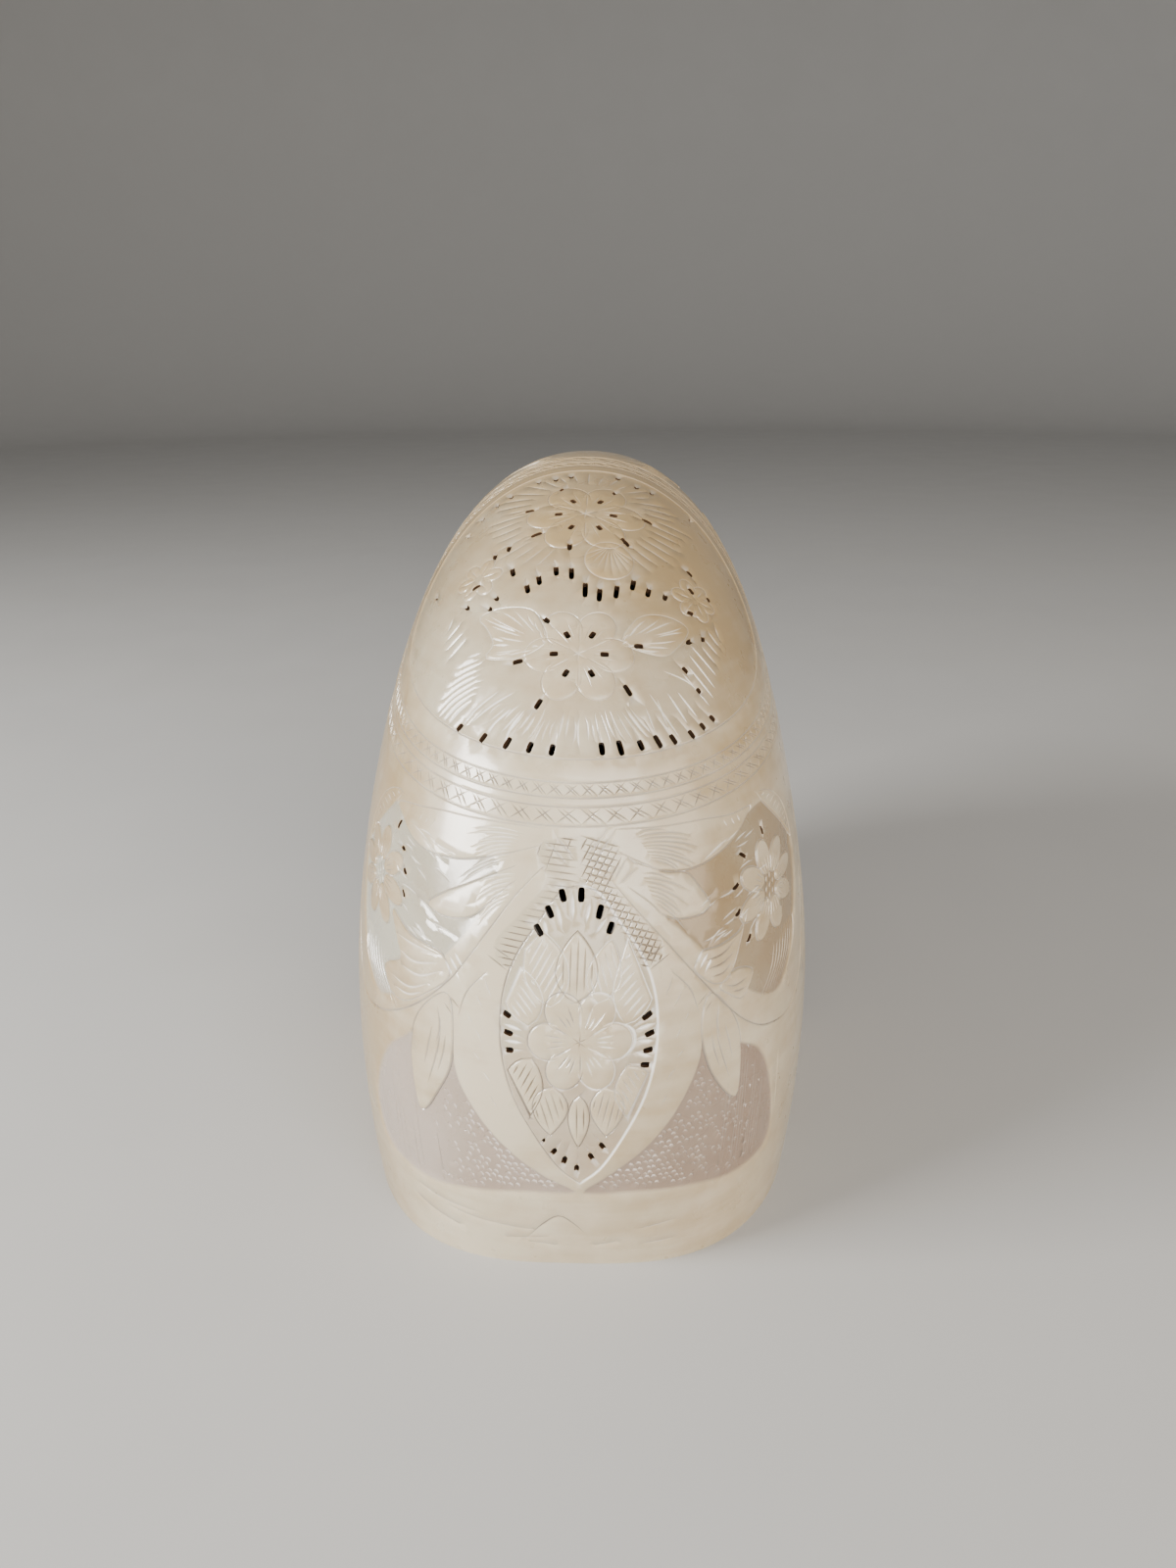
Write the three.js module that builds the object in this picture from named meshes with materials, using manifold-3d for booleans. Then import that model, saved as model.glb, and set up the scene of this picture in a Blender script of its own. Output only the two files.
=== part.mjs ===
// Engraved nautilus shell, standing mouth down on its ground rim and on the underside of its coil.
// Millimetres, +Z up. The belly and the lip of the mouth face -Y, and the axis of the spiral lies along X.
// Every wall follows one logarithmic spiral, with one section that grows along it. An angle along the spiral
// starts level at the front, goes up over the top and back, and the shell is older and smaller as it grows.
import * as THREE from "three";
import { mergeVertices } from "three/addons/utils/BufferGeometryUtils.js";
import Module from "manifold-3d";

const DEGREE = Math.PI / 180;

// The spiral
const BELLY_RADIUS = 95; // from the axis to the belly, where the belly is level with the axis
const WHORL_EXPANSION = 3.2; // growth of that radius in one full turn
const GROUND_FLAT = 0.4; // depth ground off the underside of the coil to make it stand

// The whorl's section, as shares of the belly's radius at the same place
const HALF_WIDTH = 0.42;
const WIDEST_AT = 0.438;
const BELLY_POWER = 2.12; // 2 is an ellipse, more is squarer
const BELLY_SHARE = 0.62; // share of the section's steps that go to the belly, the rest go to the flanks
const FLANK_HOLLOW = 0.62; // how far the flank has fallen in at the axis, as a share of the half width
const FLANK_HOLLOW_POWER = 2.4;
const UMBILICUS_RADIUS = 6.5; // millimetres, of the hole that the callus closes
const UMBILICUS_SHARE = 0.19; // the same for the small inner whorls

// The grown-up mouth is narrower and squarer than the whorl behind it
const LIP_NARROWING = 0.081;
const LIP_SQUARENESS = 0.98;
const LIP_FADE = 0.286; // radians
const LIP_OVERRUN = 0.2; // radians ahead of the lip over which both still grow
const MOUTH_ADVANCE = 31 * DEGREE; // how far the mouth's sides reach ahead of the lip
const FLANK_BULGE = 0.12; // share of that reach by which the margin swells in the middle of the flank
const FLANK_BULGE_END = 0.8; // share of the way to the umbilicus where the swelling ends
const UMBILICUS_RECESS = 0.7; // share of that reach lost again beside the umbilicus

// Walls
const LIP_WALL = 1.5;
const WALL_POWER = 0.5; // the wall thins with the radius to this power
const THINNEST_WALL = 0.6;
const GAP = 0.3; // between neighbours
const JOINT_ANGLE = 0.3 * DEGREE; // half of the parting between two walls

// Where the walls end along the spiral
const CHAMBER_END = 104 * DEGREE;
const COIL_END = 320 * DEGREE;
const CORE_END = 785 * DEGREE;
const CHAMBER_STEPS = [26, 32]; // along the spiral and across it
const COIL_STEPS = [26, 24];
const CORE_STEPS = [32, 12];

// Septa and siphuncle
const SEPTUM_COUNT = 30;
const FIRST_SEPTUM = 108 * DEGREE;
const SEPTUM_SPACING = 22.5 * DEGREE;
const SEPTUM_DISH = 13 * DEGREE; // how far the middle lies behind the rim
const SEPTUM_WALL = 0.75;
const SEPTUM_GAP = 0.5; // from the wall, whose flat facets lie a little inside its curve
const SEPTUM_RIM_SIDE = 0.86; // where the rim leaves the flank, as a share of the section
const SEPTUM_BELLY_POINTS = 9;
const SEPTUM_BACK = [[0.25, 0.24], [0.14, 0.32], [0, 0.35]]; // rim over the inner whorl: half width, height
const SIPHUNCLE_HEIGHT = 0.6;
const SIPHUNCLE_RADIUS = 0.5; // at the tip, and the next value is its growth with the belly's radius
const SIPHUNCLE_GROWTH = 0.016;
const SIPHUNCLE_BORE = 0.55; // as a share of its radius
const SIPHUNCLE_SIDES = 5;
const SIPHUNCLE_STEPS = 52;
const SIPHUNCLE_START = 106 * DEGREE;
const SIPHUNCLE_END = 768 * DEGREE;

// Umbilical callus
const CALLUS_RADIUS = UMBILICUS_RADIUS - GAP;
const CALLUS_FLOOR = 12.9; // distance of its flat back from the middle plane
const CALLUS_LOWEST = 14; // of its rim, where it spreads over the coil
const CALLUS_CENTRE = 16;
const CALLUS_RECESS = 0.6; // below the flank beside it
const CALLUS_SIDES = 20;
const CALLUS_RINGS = 3;

const PEARL = 0xd9d3c4;
const PORCELAIN = 0xd8d2bf;

// The spiral's own measures
const growth = Math.log(WHORL_EXPANSION) / (2 * Math.PI);
const levelAngle = Math.atan(1 / growth); // the spiral runs level this far past the front
const spiralRadius = (angle) => BELLY_RADIUS * Math.exp(-growth * angle);
const axisHeight = spiralRadius(Math.PI + levelAngle) * Math.sin(levelAngle) - GROUND_FLAT;
const steepAngle = levelAngle - Math.PI / 2; // where the belly reaches furthest forward
const frontReach = spiralRadius(steepAngle) * Math.cos(steepAngle);
const backReach = spiralRadius(steepAngle + Math.PI) * Math.cos(steepAngle);
const axisDepth = (frontReach - backReach) / 2;
const lipAngle = findLipAngle();

// The angle below the front at which the belly meets the ground, found by halving.
function findLipAngle() {
  let high = 0;
  let low = Math.PI / 3;
  for (let step = 0; step < 40; step += 1) {
    const middle = (high + low) / 2;
    if (spiralRadius(-middle) * Math.sin(middle) < axisHeight) high = middle;
    else low = middle;
  }
  return high;
}

// A point of the shell from its distance to the middle plane, its distance to the axis and its angle.
function place(across, radius, angle) {
  return new THREE.Vector3(
    across,
    axisDepth - radius * Math.cos(angle),
    axisHeight + radius * Math.sin(angle),
  );
}

// The outer section: side runs from -1 at one umbilicus over the belly at 0 to 1 at the other umbilicus.
function section(angle, side) {
  const radius = spiralRadius(angle);
  const lip = Math.exp(-Math.max(angle + lipAngle, -LIP_OVERRUN) / LIP_FADE);
  const halfWidth = HALF_WIDTH * radius * (1 - LIP_NARROWING * lip);
  const widest = WIDEST_AT * radius;
  const belly = Math.abs(side) / BELLY_SHARE;
  if (belly <= 1) {
    const power = BELLY_POWER + LIP_SQUARENESS * lip;
    const turn = (Math.PI / 2) * belly ** (power / 2);
    const across = halfWidth * Math.sin(turn) ** (2 / power);
    return new THREE.Vector2(Math.sign(side) * across, widest + (radius - widest) * Math.cos(turn));
  }
  const down = (Math.abs(side) - BELLY_SHARE) / (1 - BELLY_SHARE);
  const hole = Math.min(UMBILICUS_RADIUS, UMBILICUS_SHARE * radius);
  const height = THREE.MathUtils.lerp(widest, hole, down);
  const hollow = FLANK_HOLLOW * (1 - height / widest) ** FLANK_HOLLOW_POWER;
  return new THREE.Vector2(Math.sign(side) * halfWidth * (1 - hollow), height);
}

// The same section moved in by a depth.
function insetSection(angle, side, depth) {
  const step = 0.005;
  const before = section(angle, Math.max(side - step, -1));
  const after = section(angle, Math.min(side + step, 1));
  const along = after.sub(before).normalize();
  return section(angle, side).sub(new THREE.Vector2(-along.y, along.x).multiplyScalar(depth));
}

const wallThickness = (angle) =>
  Math.max(THINNEST_WALL, LIP_WALL * (spiralRadius(angle) / BELLY_RADIUS) ** WALL_POWER);

// A closed solid between two grids of points of one size. A round grid joins its last column to its first.
function closedSheet(front, back, round) {
  const rows = front.length;
  const columns = front[0].length;
  const points = [...front.flat(), ...back.flat()];
  const faces = [];
  const quad = (a, b, c, d) => faces.push(a, b, c, a, c, d);
  const frontAt = (row, column) => row * columns + (column % columns);
  const backAt = (row, column) => rows * columns + frontAt(row, column);
  const lastColumn = round ? columns : columns - 1;
  for (let column = 0; column < lastColumn; column += 1) {
    const next = column + 1;
    for (let row = 0; row < rows - 1; row += 1) {
      quad(frontAt(row, column), frontAt(row, next), frontAt(row + 1, next), frontAt(row + 1, column));
      quad(backAt(row, column), backAt(row + 1, column), backAt(row + 1, next), backAt(row, next));
    }
    const end = rows - 1;
    quad(frontAt(0, column), backAt(0, column), backAt(0, next), frontAt(0, next));
    quad(frontAt(end, column), frontAt(end, next), backAt(end, next), backAt(end, column));
  }
  if (!round) {
    const side = columns - 1;
    for (let row = 0; row < rows - 1; row += 1) {
      quad(frontAt(row, 0), frontAt(row + 1, 0), backAt(row + 1, 0), backAt(row, 0));
      quad(frontAt(row, side), backAt(row, side), backAt(row + 1, side), frontAt(row + 1, side));
    }
  }
  return facingOut(new THREE.BufferGeometry().setFromPoints(points).setIndex(faces));
}

// Turns every face round if the solid is inside out.
function facingOut(geometry) {
  const position = geometry.getAttribute("position");
  const faces = Array.from(geometry.index.array);
  const corner = (index) => new THREE.Vector3().fromBufferAttribute(position, faces[index]);
  let volume = 0;
  for (let i = 0; i < faces.length; i += 3) volume += corner(i).dot(corner(i + 1).cross(corner(i + 2)));
  if (volume < 0) faces.reverse();
  return geometry.setIndex(faces);
}

const wasm = await Module();
wasm.setup();

function toSolid(geometry) {
  const bare = geometry.clone();
  bare.deleteAttribute("normal");
  bare.deleteAttribute("uv");
  const merged = mergeVertices(bare, 1e-3);
  const vertProperties = new Float32Array(merged.getAttribute("position").array);
  const triVerts = new Uint32Array(merged.index.array);
  return new wasm.Manifold(new wasm.Mesh({ numProp: 3, vertProperties, triVerts }));
}

function toGeometry(solid) {
  const mesh = solid.getMesh();
  const geometry = new THREE.BufferGeometry();
  geometry.setAttribute("position", new THREE.BufferAttribute(mesh.vertProperties, 3));
  return geometry.setIndex(new THREE.BufferAttribute(mesh.triVerts, 1));
}

// Grinds a wall flat where it would go below the ground.
function groundFlat(geometry) {
  const size = 4 * BELLY_RADIUS;
  const stone = new THREE.BoxGeometry(size, size, size).translate(0, 0, -size / 2);
  return toGeometry(toSolid(geometry).subtract(toSolid(stone)));
}

// The wall of a stretch of whorl. The start may lie at another angle for each side of the section.
function whorlWall(start, end, [steps, sides]) {
  const outer = [];
  const inner = [];
  for (let step = 0; step <= steps; step += 1) {
    outer.push([]);
    inner.push([]);
    for (let count = 0; count <= sides; count += 1) {
      const side = (2 * count) / sides - 1;
      const angle = THREE.MathUtils.lerp(start(side), end, step / steps);
      const outside = section(angle, side);
      const inside = insetSection(angle, side, wallThickness(angle));
      outer[step].push(place(outside.x, outside.y, angle));
      inner[step].push(place(inside.x, inside.y, angle));
    }
  }
  return closedSheet(outer, inner, false);
}

// The margin of the mouth: its sides reach forward, swell a little and draw back beside the umbilicus.
function mouthMargin(side) {
  const down = Math.max(Math.abs(side) - BELLY_SHARE, 0) / (1 - BELLY_SHARE);
  const swell = FLANK_BULGE * Math.sin(Math.PI * Math.min(down / FLANK_BULGE_END, 1));
  return -lipAngle - MOUTH_ADVANCE * (1 + swell - UMBILICUS_RECESS * down ** 3);
}

const siphuncleRadius = (angle) => SIPHUNCLE_RADIUS + SIPHUNCLE_GROWTH * spiralRadius(angle);

// The closed rim of a septum: along the inside of the wall, then back over the whorl within.
function septumRim(angle) {
  const rim = [];
  const inset = wallThickness(angle) + SEPTUM_GAP;
  for (let count = 0; count < SEPTUM_BELLY_POINTS; count += 1) {
    const side = SEPTUM_RIM_SIDE * ((2 * count) / (SEPTUM_BELLY_POINTS - 1) - 1);
    rim.push(insetSection(angle, side, inset));
  }
  const radius = spiralRadius(angle);
  const right = SEPTUM_BACK.map(([across, height]) => new THREE.Vector2(across, height));
  const left = right.slice(0, -1).reverse().map(({ x, y }) => new THREE.Vector2(-x, y));
  return [...rim, ...[...right, ...left].map((point) => point.multiplyScalar(radius))];
}

// A septum is a dish, hollow towards the mouth, with a hole in its middle for the siphuncle.
function septum(angle) {
  const rim = septumRim(angle);
  const centre = new THREE.Vector2(0, SIPHUNCLE_HEIGHT * spiralRadius(angle + SEPTUM_DISH));
  const hole = siphuncleRadius(angle + SEPTUM_DISH) + SEPTUM_GAP;
  const halfWall = Math.max(THINNEST_WALL, SEPTUM_WALL * (spiralRadius(angle) / BELLY_RADIUS) ** WALL_POWER) / 2;
  const front = [];
  const back = [];
  for (const ring of [0, 0.45, 1]) {
    front.push([]);
    back.push([]);
    for (const edge of rim) {
      const inner = hole / edge.distanceTo(centre);
      const share = THREE.MathUtils.lerp(inner, 1, ring);
      const point = new THREE.Vector2().lerpVectors(centre, edge, share);
      const middle = angle + SEPTUM_DISH * (1 - share ** 2);
      front.at(-1).push(place(point.x, point.y, middle - halfWall / point.y));
      back.at(-1).push(place(point.x, point.y, middle + halfWall / point.y));
    }
  }
  return closedSheet(front, back, true);
}

// The siphuncle is a thin tube along the spiral, through the middles of the septa.
function siphuncle() {
  const outer = [];
  const inner = [];
  for (let step = 0; step <= SIPHUNCLE_STEPS; step += 1) {
    const angle = THREE.MathUtils.lerp(SIPHUNCLE_START, SIPHUNCLE_END, step / SIPHUNCLE_STEPS);
    const radius = siphuncleRadius(angle);
    const height = SIPHUNCLE_HEIGHT * spiralRadius(angle);
    const ring = (size) =>
      Array.from({ length: SIPHUNCLE_SIDES }, (_, side) => {
        const turn = (2 * Math.PI * side) / SIPHUNCLE_SIDES;
        return place(size * Math.cos(turn), height + size * Math.sin(turn), angle);
      });
    outer.push(ring(radius));
    inner.push(ring(SIPHUNCLE_BORE * radius));
  }
  return closedSheet(outer, inner, true);
}

// The callus is a plug with a flat back, whose top winds down with the flank around it.
function callus(hand) {
  const start = mouthMargin(1);
  const points = [place(hand * CALLUS_CENTRE, 0, 0), place(hand * CALLUS_FLOOR, 0, 0)];
  const faces = [];
  const at = (ring, side) => 2 + (ring - 1) * CALLUS_SIDES + (side % CALLUS_SIDES);
  for (let ring = 1; ring <= CALLUS_RINGS + 1; ring += 1) {
    const share = Math.min(ring / CALLUS_RINGS, 1);
    for (let side = 0; side < CALLUS_SIDES; side += 1) {
      const angle = start + (2 * Math.PI * side) / CALLUS_SIDES;
      const flank = section(angle, 1).x - CALLUS_RECESS;
      const edge = Math.max(flank, CALLUS_LOWEST);
      const top = THREE.MathUtils.lerp(CALLUS_CENTRE, edge, share ** 1.5);
      const level = ring > CALLUS_RINGS ? CALLUS_FLOOR : top;
      points.push(place(hand * level, share * CALLUS_RADIUS, angle));
    }
  }
  for (let side = 0; side < CALLUS_SIDES; side += 1) {
    faces.push(0, at(1, side), at(1, side + 1));
    faces.push(1, at(CALLUS_RINGS + 1, side + 1), at(CALLUS_RINGS + 1, side));
    for (let ring = 1; ring <= CALLUS_RINGS; ring += 1) {
      faces.push(at(ring, side), at(ring + 1, side), at(ring + 1, side + 1));
      faces.push(at(ring, side), at(ring + 1, side + 1), at(ring, side + 1));
    }
  }
  return facingOut(new THREE.BufferGeometry().setFromPoints(points).setIndex(faces));
}

const shell = new THREE.Group();

function addPiece(name, geometry, color, roughness) {
  const piece = new THREE.Mesh(geometry, new THREE.MeshStandardMaterial({ color, roughness, metalness: 0 }));
  piece.name = name;
  shell.add(piece);
}

const chamber = whorlWall(mouthMargin, CHAMBER_END - JOINT_ANGLE, CHAMBER_STEPS);
addPiece("living_chamber_wall", groundFlat(chamber), PORCELAIN, 0.35);

const coil = whorlWall(() => CHAMBER_END, COIL_END - JOINT_ANGLE, COIL_STEPS);
addPiece("outer_coil_wall", groundFlat(coil), PEARL, 0.25);

addPiece("inner_coil_wall", whorlWall(() => COIL_END, CORE_END, CORE_STEPS), PEARL, 0.25);

for (let count = 0; count < SEPTUM_COUNT; count += 1) {
  const number = String(count + 1).padStart(2, "0");
  addPiece(`septum_${number}`, septum(FIRST_SEPTUM + count * SEPTUM_SPACING), PEARL, 0.3);
}
addPiece("siphuncle", siphuncle(), PORCELAIN, 0.6);
addPiece("umbilical_callus_right", callus(1), PORCELAIN, 0.35);
addPiece("umbilical_callus_left", callus(-1), PORCELAIN, 0.35);

export default shell;
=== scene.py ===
"""Looks of the engraved nautilus shell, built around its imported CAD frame.

The shell's surface is one sheet: girth runs across it from the middle line, length runs along the belly
from the lip. The engraver's drawing is laid out flat on that sheet in millimetres, then carved into it.
"""
import math

import bpy
import numpy as np
from bpy.props import FloatProperty, FloatVectorProperty, IntProperty, PointerProperty
from mathutils import Matrix, Vector
from mathutils.geometry import delaunay_2d_cdt


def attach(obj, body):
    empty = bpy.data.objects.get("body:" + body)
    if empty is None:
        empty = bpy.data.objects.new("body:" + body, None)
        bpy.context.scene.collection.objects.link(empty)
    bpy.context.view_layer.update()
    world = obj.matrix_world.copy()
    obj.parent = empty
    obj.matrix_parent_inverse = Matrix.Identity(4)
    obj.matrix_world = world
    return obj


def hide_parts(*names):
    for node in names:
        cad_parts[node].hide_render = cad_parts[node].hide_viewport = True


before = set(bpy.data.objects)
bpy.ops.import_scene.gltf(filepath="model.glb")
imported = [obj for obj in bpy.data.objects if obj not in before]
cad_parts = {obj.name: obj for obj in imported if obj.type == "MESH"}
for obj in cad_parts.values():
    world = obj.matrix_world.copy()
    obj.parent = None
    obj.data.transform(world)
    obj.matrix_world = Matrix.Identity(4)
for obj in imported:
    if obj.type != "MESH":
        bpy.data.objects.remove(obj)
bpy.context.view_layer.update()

bl_info = {
    "name": "Engraved Nautilus Shell",
    "version": (1, 0, 0),
    "blender": (4, 5, 0),
    "location": "View3D > Sidebar > Nautilus",
    "description": "Builds an engraved nautilus shell around its CAD frame",
    "category": "Add Mesh",
}

MM = 0.001


# Settings

def length(name, description, default):
    return FloatProperty(name=name, description=description, default=default, unit="LENGTH", precision=5)


def angle(name, description, degrees):
    return FloatProperty(name=name, description=description, default=math.radians(degrees), subtype="ANGLE")


def share(name, description, default):
    return FloatProperty(name=name, description=description, default=default, precision=4)


def number(name, description, default):
    return FloatProperty(name=name, description=description, default=default)


def colour(name, description, default):
    return FloatVectorProperty(
        name=name, description=description, default=default, subtype="COLOR", size=4, min=0, max=1
    )


class ShellForm(bpy.types.PropertyGroup):
    """The shell's rule, as in its CAD frame."""

    belly_radius: length("Belly radius", "From the axis to the belly, level with the axis", 0.095)
    whorl_expansion: share("Whorl expansion", "Growth of the radius in one full turn", 3.2)
    ground_flat: length("Ground flat", "Depth ground off the underside of the coil", 0.0004)
    half_width: share("Half width", "Share of the belly radius", 0.42)
    widest_at: share("Widest at", "Share of the belly radius", 0.438)
    belly_power: share("Belly power", "2 is an ellipse, more is squarer", 2.12)
    flank_hollow: share("Flank hollow", "How far the flank falls in at the axis", 0.62)
    flank_hollow_power: share("Flank hollow power", "How late the flank falls in", 2.4)
    umbilicus_radius: length("Umbilicus radius", "Hole that the callus closes", 0.0065)
    umbilicus_share: share("Umbilicus share", "The same for the small inner whorls", 0.19)
    lip_narrowing: share("Lip narrowing", "How much narrower the mouth is", 0.081)
    lip_squareness: share("Lip squareness", "Added to the belly power at the mouth", 0.98)
    lip_fade: angle("Lip fade", "How far back from the mouth that shape fades", 16.386)
    lip_overrun: angle("Lip overrun", "How far ahead of the lip it still grows", 11.459)
    mouth_advance: angle("Mouth advance", "Reach of the mouth's sides ahead of the lip", 31)
    flank_bulge: share("Flank bulge", "Swelling of the margin in the middle of the flank", 0.12)
    flank_bulge_end: share("Flank bulge end", "Where that swelling ends on the way to the umbilicus", 0.8)
    umbilicus_recess: share("Umbilicus recess", "Reach that is lost again beside the umbilicus", 0.7)
    lip_wall: length("Lip wall", "Thickness at the lip", 0.0015)
    thinnest_wall: length("Thinnest wall", "Thickness of the inner whorls", 0.0006)
    chamber_end: angle("Chamber end", "Where the carved wall ends", 104)
    coil_end: angle("Coil end", "Where the outer coil ends", 320)
    core_end: angle("Core end", "Where the inner coil ends", 785)
    film_depth: length("Film depth", "How far back the dark film in the living chamber reaches", 0.011)
    film_reach: length("Film reach", "How far the dark film reaches to each side", 0.026)


class CarvingSizes(bpy.types.PropertyGroup):
    """Depths and widths of the engraver's work."""

    ground_depth: length("Ground depth", "How deep the ground between the ornaments is sunk", 0.00024)
    medallion_depth: length("Medallion depth", "How deep the medallion's ground is sunk", 0.00014)
    panel_depth: length("Panel depth", "How deep the cap's panel is sunk", 0.0001)
    lattice_depth: length("Lattice depth", "How deep the lattice fields are sunk", 0.00006)
    edge_ramp: length("Edge ramp", "Width of the slope at an ornament's edge", 0.0003)
    line_width: length("Line width", "Width of an engraved line", 0.0003)
    line_depth: length("Line depth", "Depth of an engraved line", 0.00015)
    slot_width: length("Slot width", "Width of a pierced slot", 0.0008)
    middle_shift: length("Middle shift", "How far right of the middle the engraver's middle lies", 0.0017)
    fine_step: length("Fine step", "Spacing of the sheet's points on the carved front", 0.00125)
    coarse_step: length("Coarse step", "Spacing of the sheet's points elsewhere", 0.0026)


class SeptumSizes(bpy.types.PropertyGroup):
    """The walls between the chambers."""

    count: IntProperty(name="Count", description="Septa in the coil", default=30, min=1)
    first: angle("First", "Where the newest septum meets the wall", 108)
    spacing: angle("Spacing", "From one septum to the next", 22.5)
    dish: angle("Dish", "How far the middle lies behind the rim", 13)
    wall: length("Wall", "Thickness of the newest septum", 0.00075)


class ShellColours(bpy.types.PropertyGroup):
    """Colours of shell and stage."""

    cream: colour("Cream", "Porcelain layer", (0.605, 0.52, 0.372, 1))
    # Warm cream is also the colour of the painted shade at the porcelain's sides, high on the right and on
    # top.
    cream_patches_and_shade: colour("Warm cream", "Warmer patches of the porcelain layer", (0.385, 0.272, 0.13, 1))
    pearl: colour("Pearl", "Pearl under the porcelain layer, low on the left", (0.40, 0.325, 0.262, 1))
    # The rose and olive pearls are the pearl's own tints, made darker to paint shade on the right side.
    pearl_rose_shaded: colour("Rose pearl", "The pearl low on the right", (0.25, 0.17, 0.113, 1))
    pearl_green: colour("Green pearl", "The pearl high on the left", (0.425, 0.405, 0.32, 1))
    pearl_olive_shaded: colour("Olive pearl", "The pearl high on the right", (0.27, 0.185, 0.09, 1))
    # Fresh cuts are whiter, and this white also paints glints on the strokes.
    cut_and_glint_white: colour("Fresh cut", "Clean engraved strokes", (0.97, 0.94, 0.88, 1))
    # Old dirt in the engraved lines, which also paints shade in them.
    groove: colour("Groove", "Old dirt in the engraved lines", (0.12, 0.08, 0.048, 1))
    # Painted shade: this dark colour stands in for the shade inside the living chamber.
    lining: colour("Lining", "Dull inside of the living chamber", (0.16, 0.13, 0.10, 1))
    # The film's colour also paints the shade on the coil inside the living chamber.
    film: colour("Film", "Dark film on the coil inside the living chamber", (0.03, 0.022, 0.016, 1))
    # Painted shade on the walls of the pierced slots, standing in for the shade inside them.
    slot: colour("Slot", "Stained walls of the pierced slots", (0.10, 0.055, 0.03, 1))
    chalk: colour("Chalk", "Siphuncle", (0.60, 0.56, 0.48, 1))
    floor: colour("Floor", "Studio floor", (0.47, 0.466, 0.455, 1))


class StageSettings(bpy.types.PropertyGroup):
    """Camera, light and floor."""

    camera_place: FloatVectorProperty(
        name="Camera place", description="Where the photograph was taken from",
        default=(0.00938, -0.21552, 0.13337), subtype="TRANSLATION", unit="LENGTH", precision=5,
    )
    camera_yaw: angle("Camera yaw", "Turned to the right", -2.46)
    camera_pitch: angle("Camera pitch", "Tilted down", 21.02)
    camera_roll: angle("Camera roll", "Turned about the view", -0.65)
    camera_lens: number("Lens", "Millimetres on a 36 mm sensor", 27.21)
    key_power: number("Key power", "Watts of the window light", 10.0)
    front_power: number("Front power", "Watts of the soft front light", 14.5)
    top_power: number("Top power", "Watts of the overhead light", 0.4)
    fill_power: number("Fill power", "Watts of the warm fill light", 2.5)
    world_strength: number("World strength", "Even light of the room", 0.2)
    floor_radius: length("Floor radius", "Flat part of the floor", 1.5)
    floor_curve: length("Floor curve", "Radius of the curve between floor and wall", 0.5)
    wall_height: length("Wall height", "Top of the wall round the floor", 1.3)


# Lines and directions

TINY = 1e-12
SHORTEST = 1e-9


def way_along(first, second):
    """The way along a curve up to each of its points, from their two coordinates."""
    return np.concatenate([[0], np.cumsum(np.hypot(np.diff(first), np.diff(second)))])


def points_at(stops, way, curve):
    """Points of a curve at some stops on its way."""
    return np.stack([np.interp(stops, way, curve[:, 0]), np.interp(stops, way, curve[:, 1])], 1)


def unit(vectors):
    """The same directions with length 1."""
    return vectors / np.maximum(np.linalg.norm(vectors, axis=1, keepdims=True), SHORTEST)


def left_of(along):
    """Flat directions turned to the left by a quarter."""
    return along[..., ::-1] * np.array([-1, 1])


def segment_gaps(points, start, step):
    """Each point's distance from each segment, and the share of the segment at which it is nearest."""
    reach = points[:, None] - start[None]
    way = np.clip((reach * step).sum(2) / np.maximum((step**2).sum(1), TINY), 0, 1)
    return np.linalg.norm(reach - way[..., None] * step, axis=2), way


# The shell's rule

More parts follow.
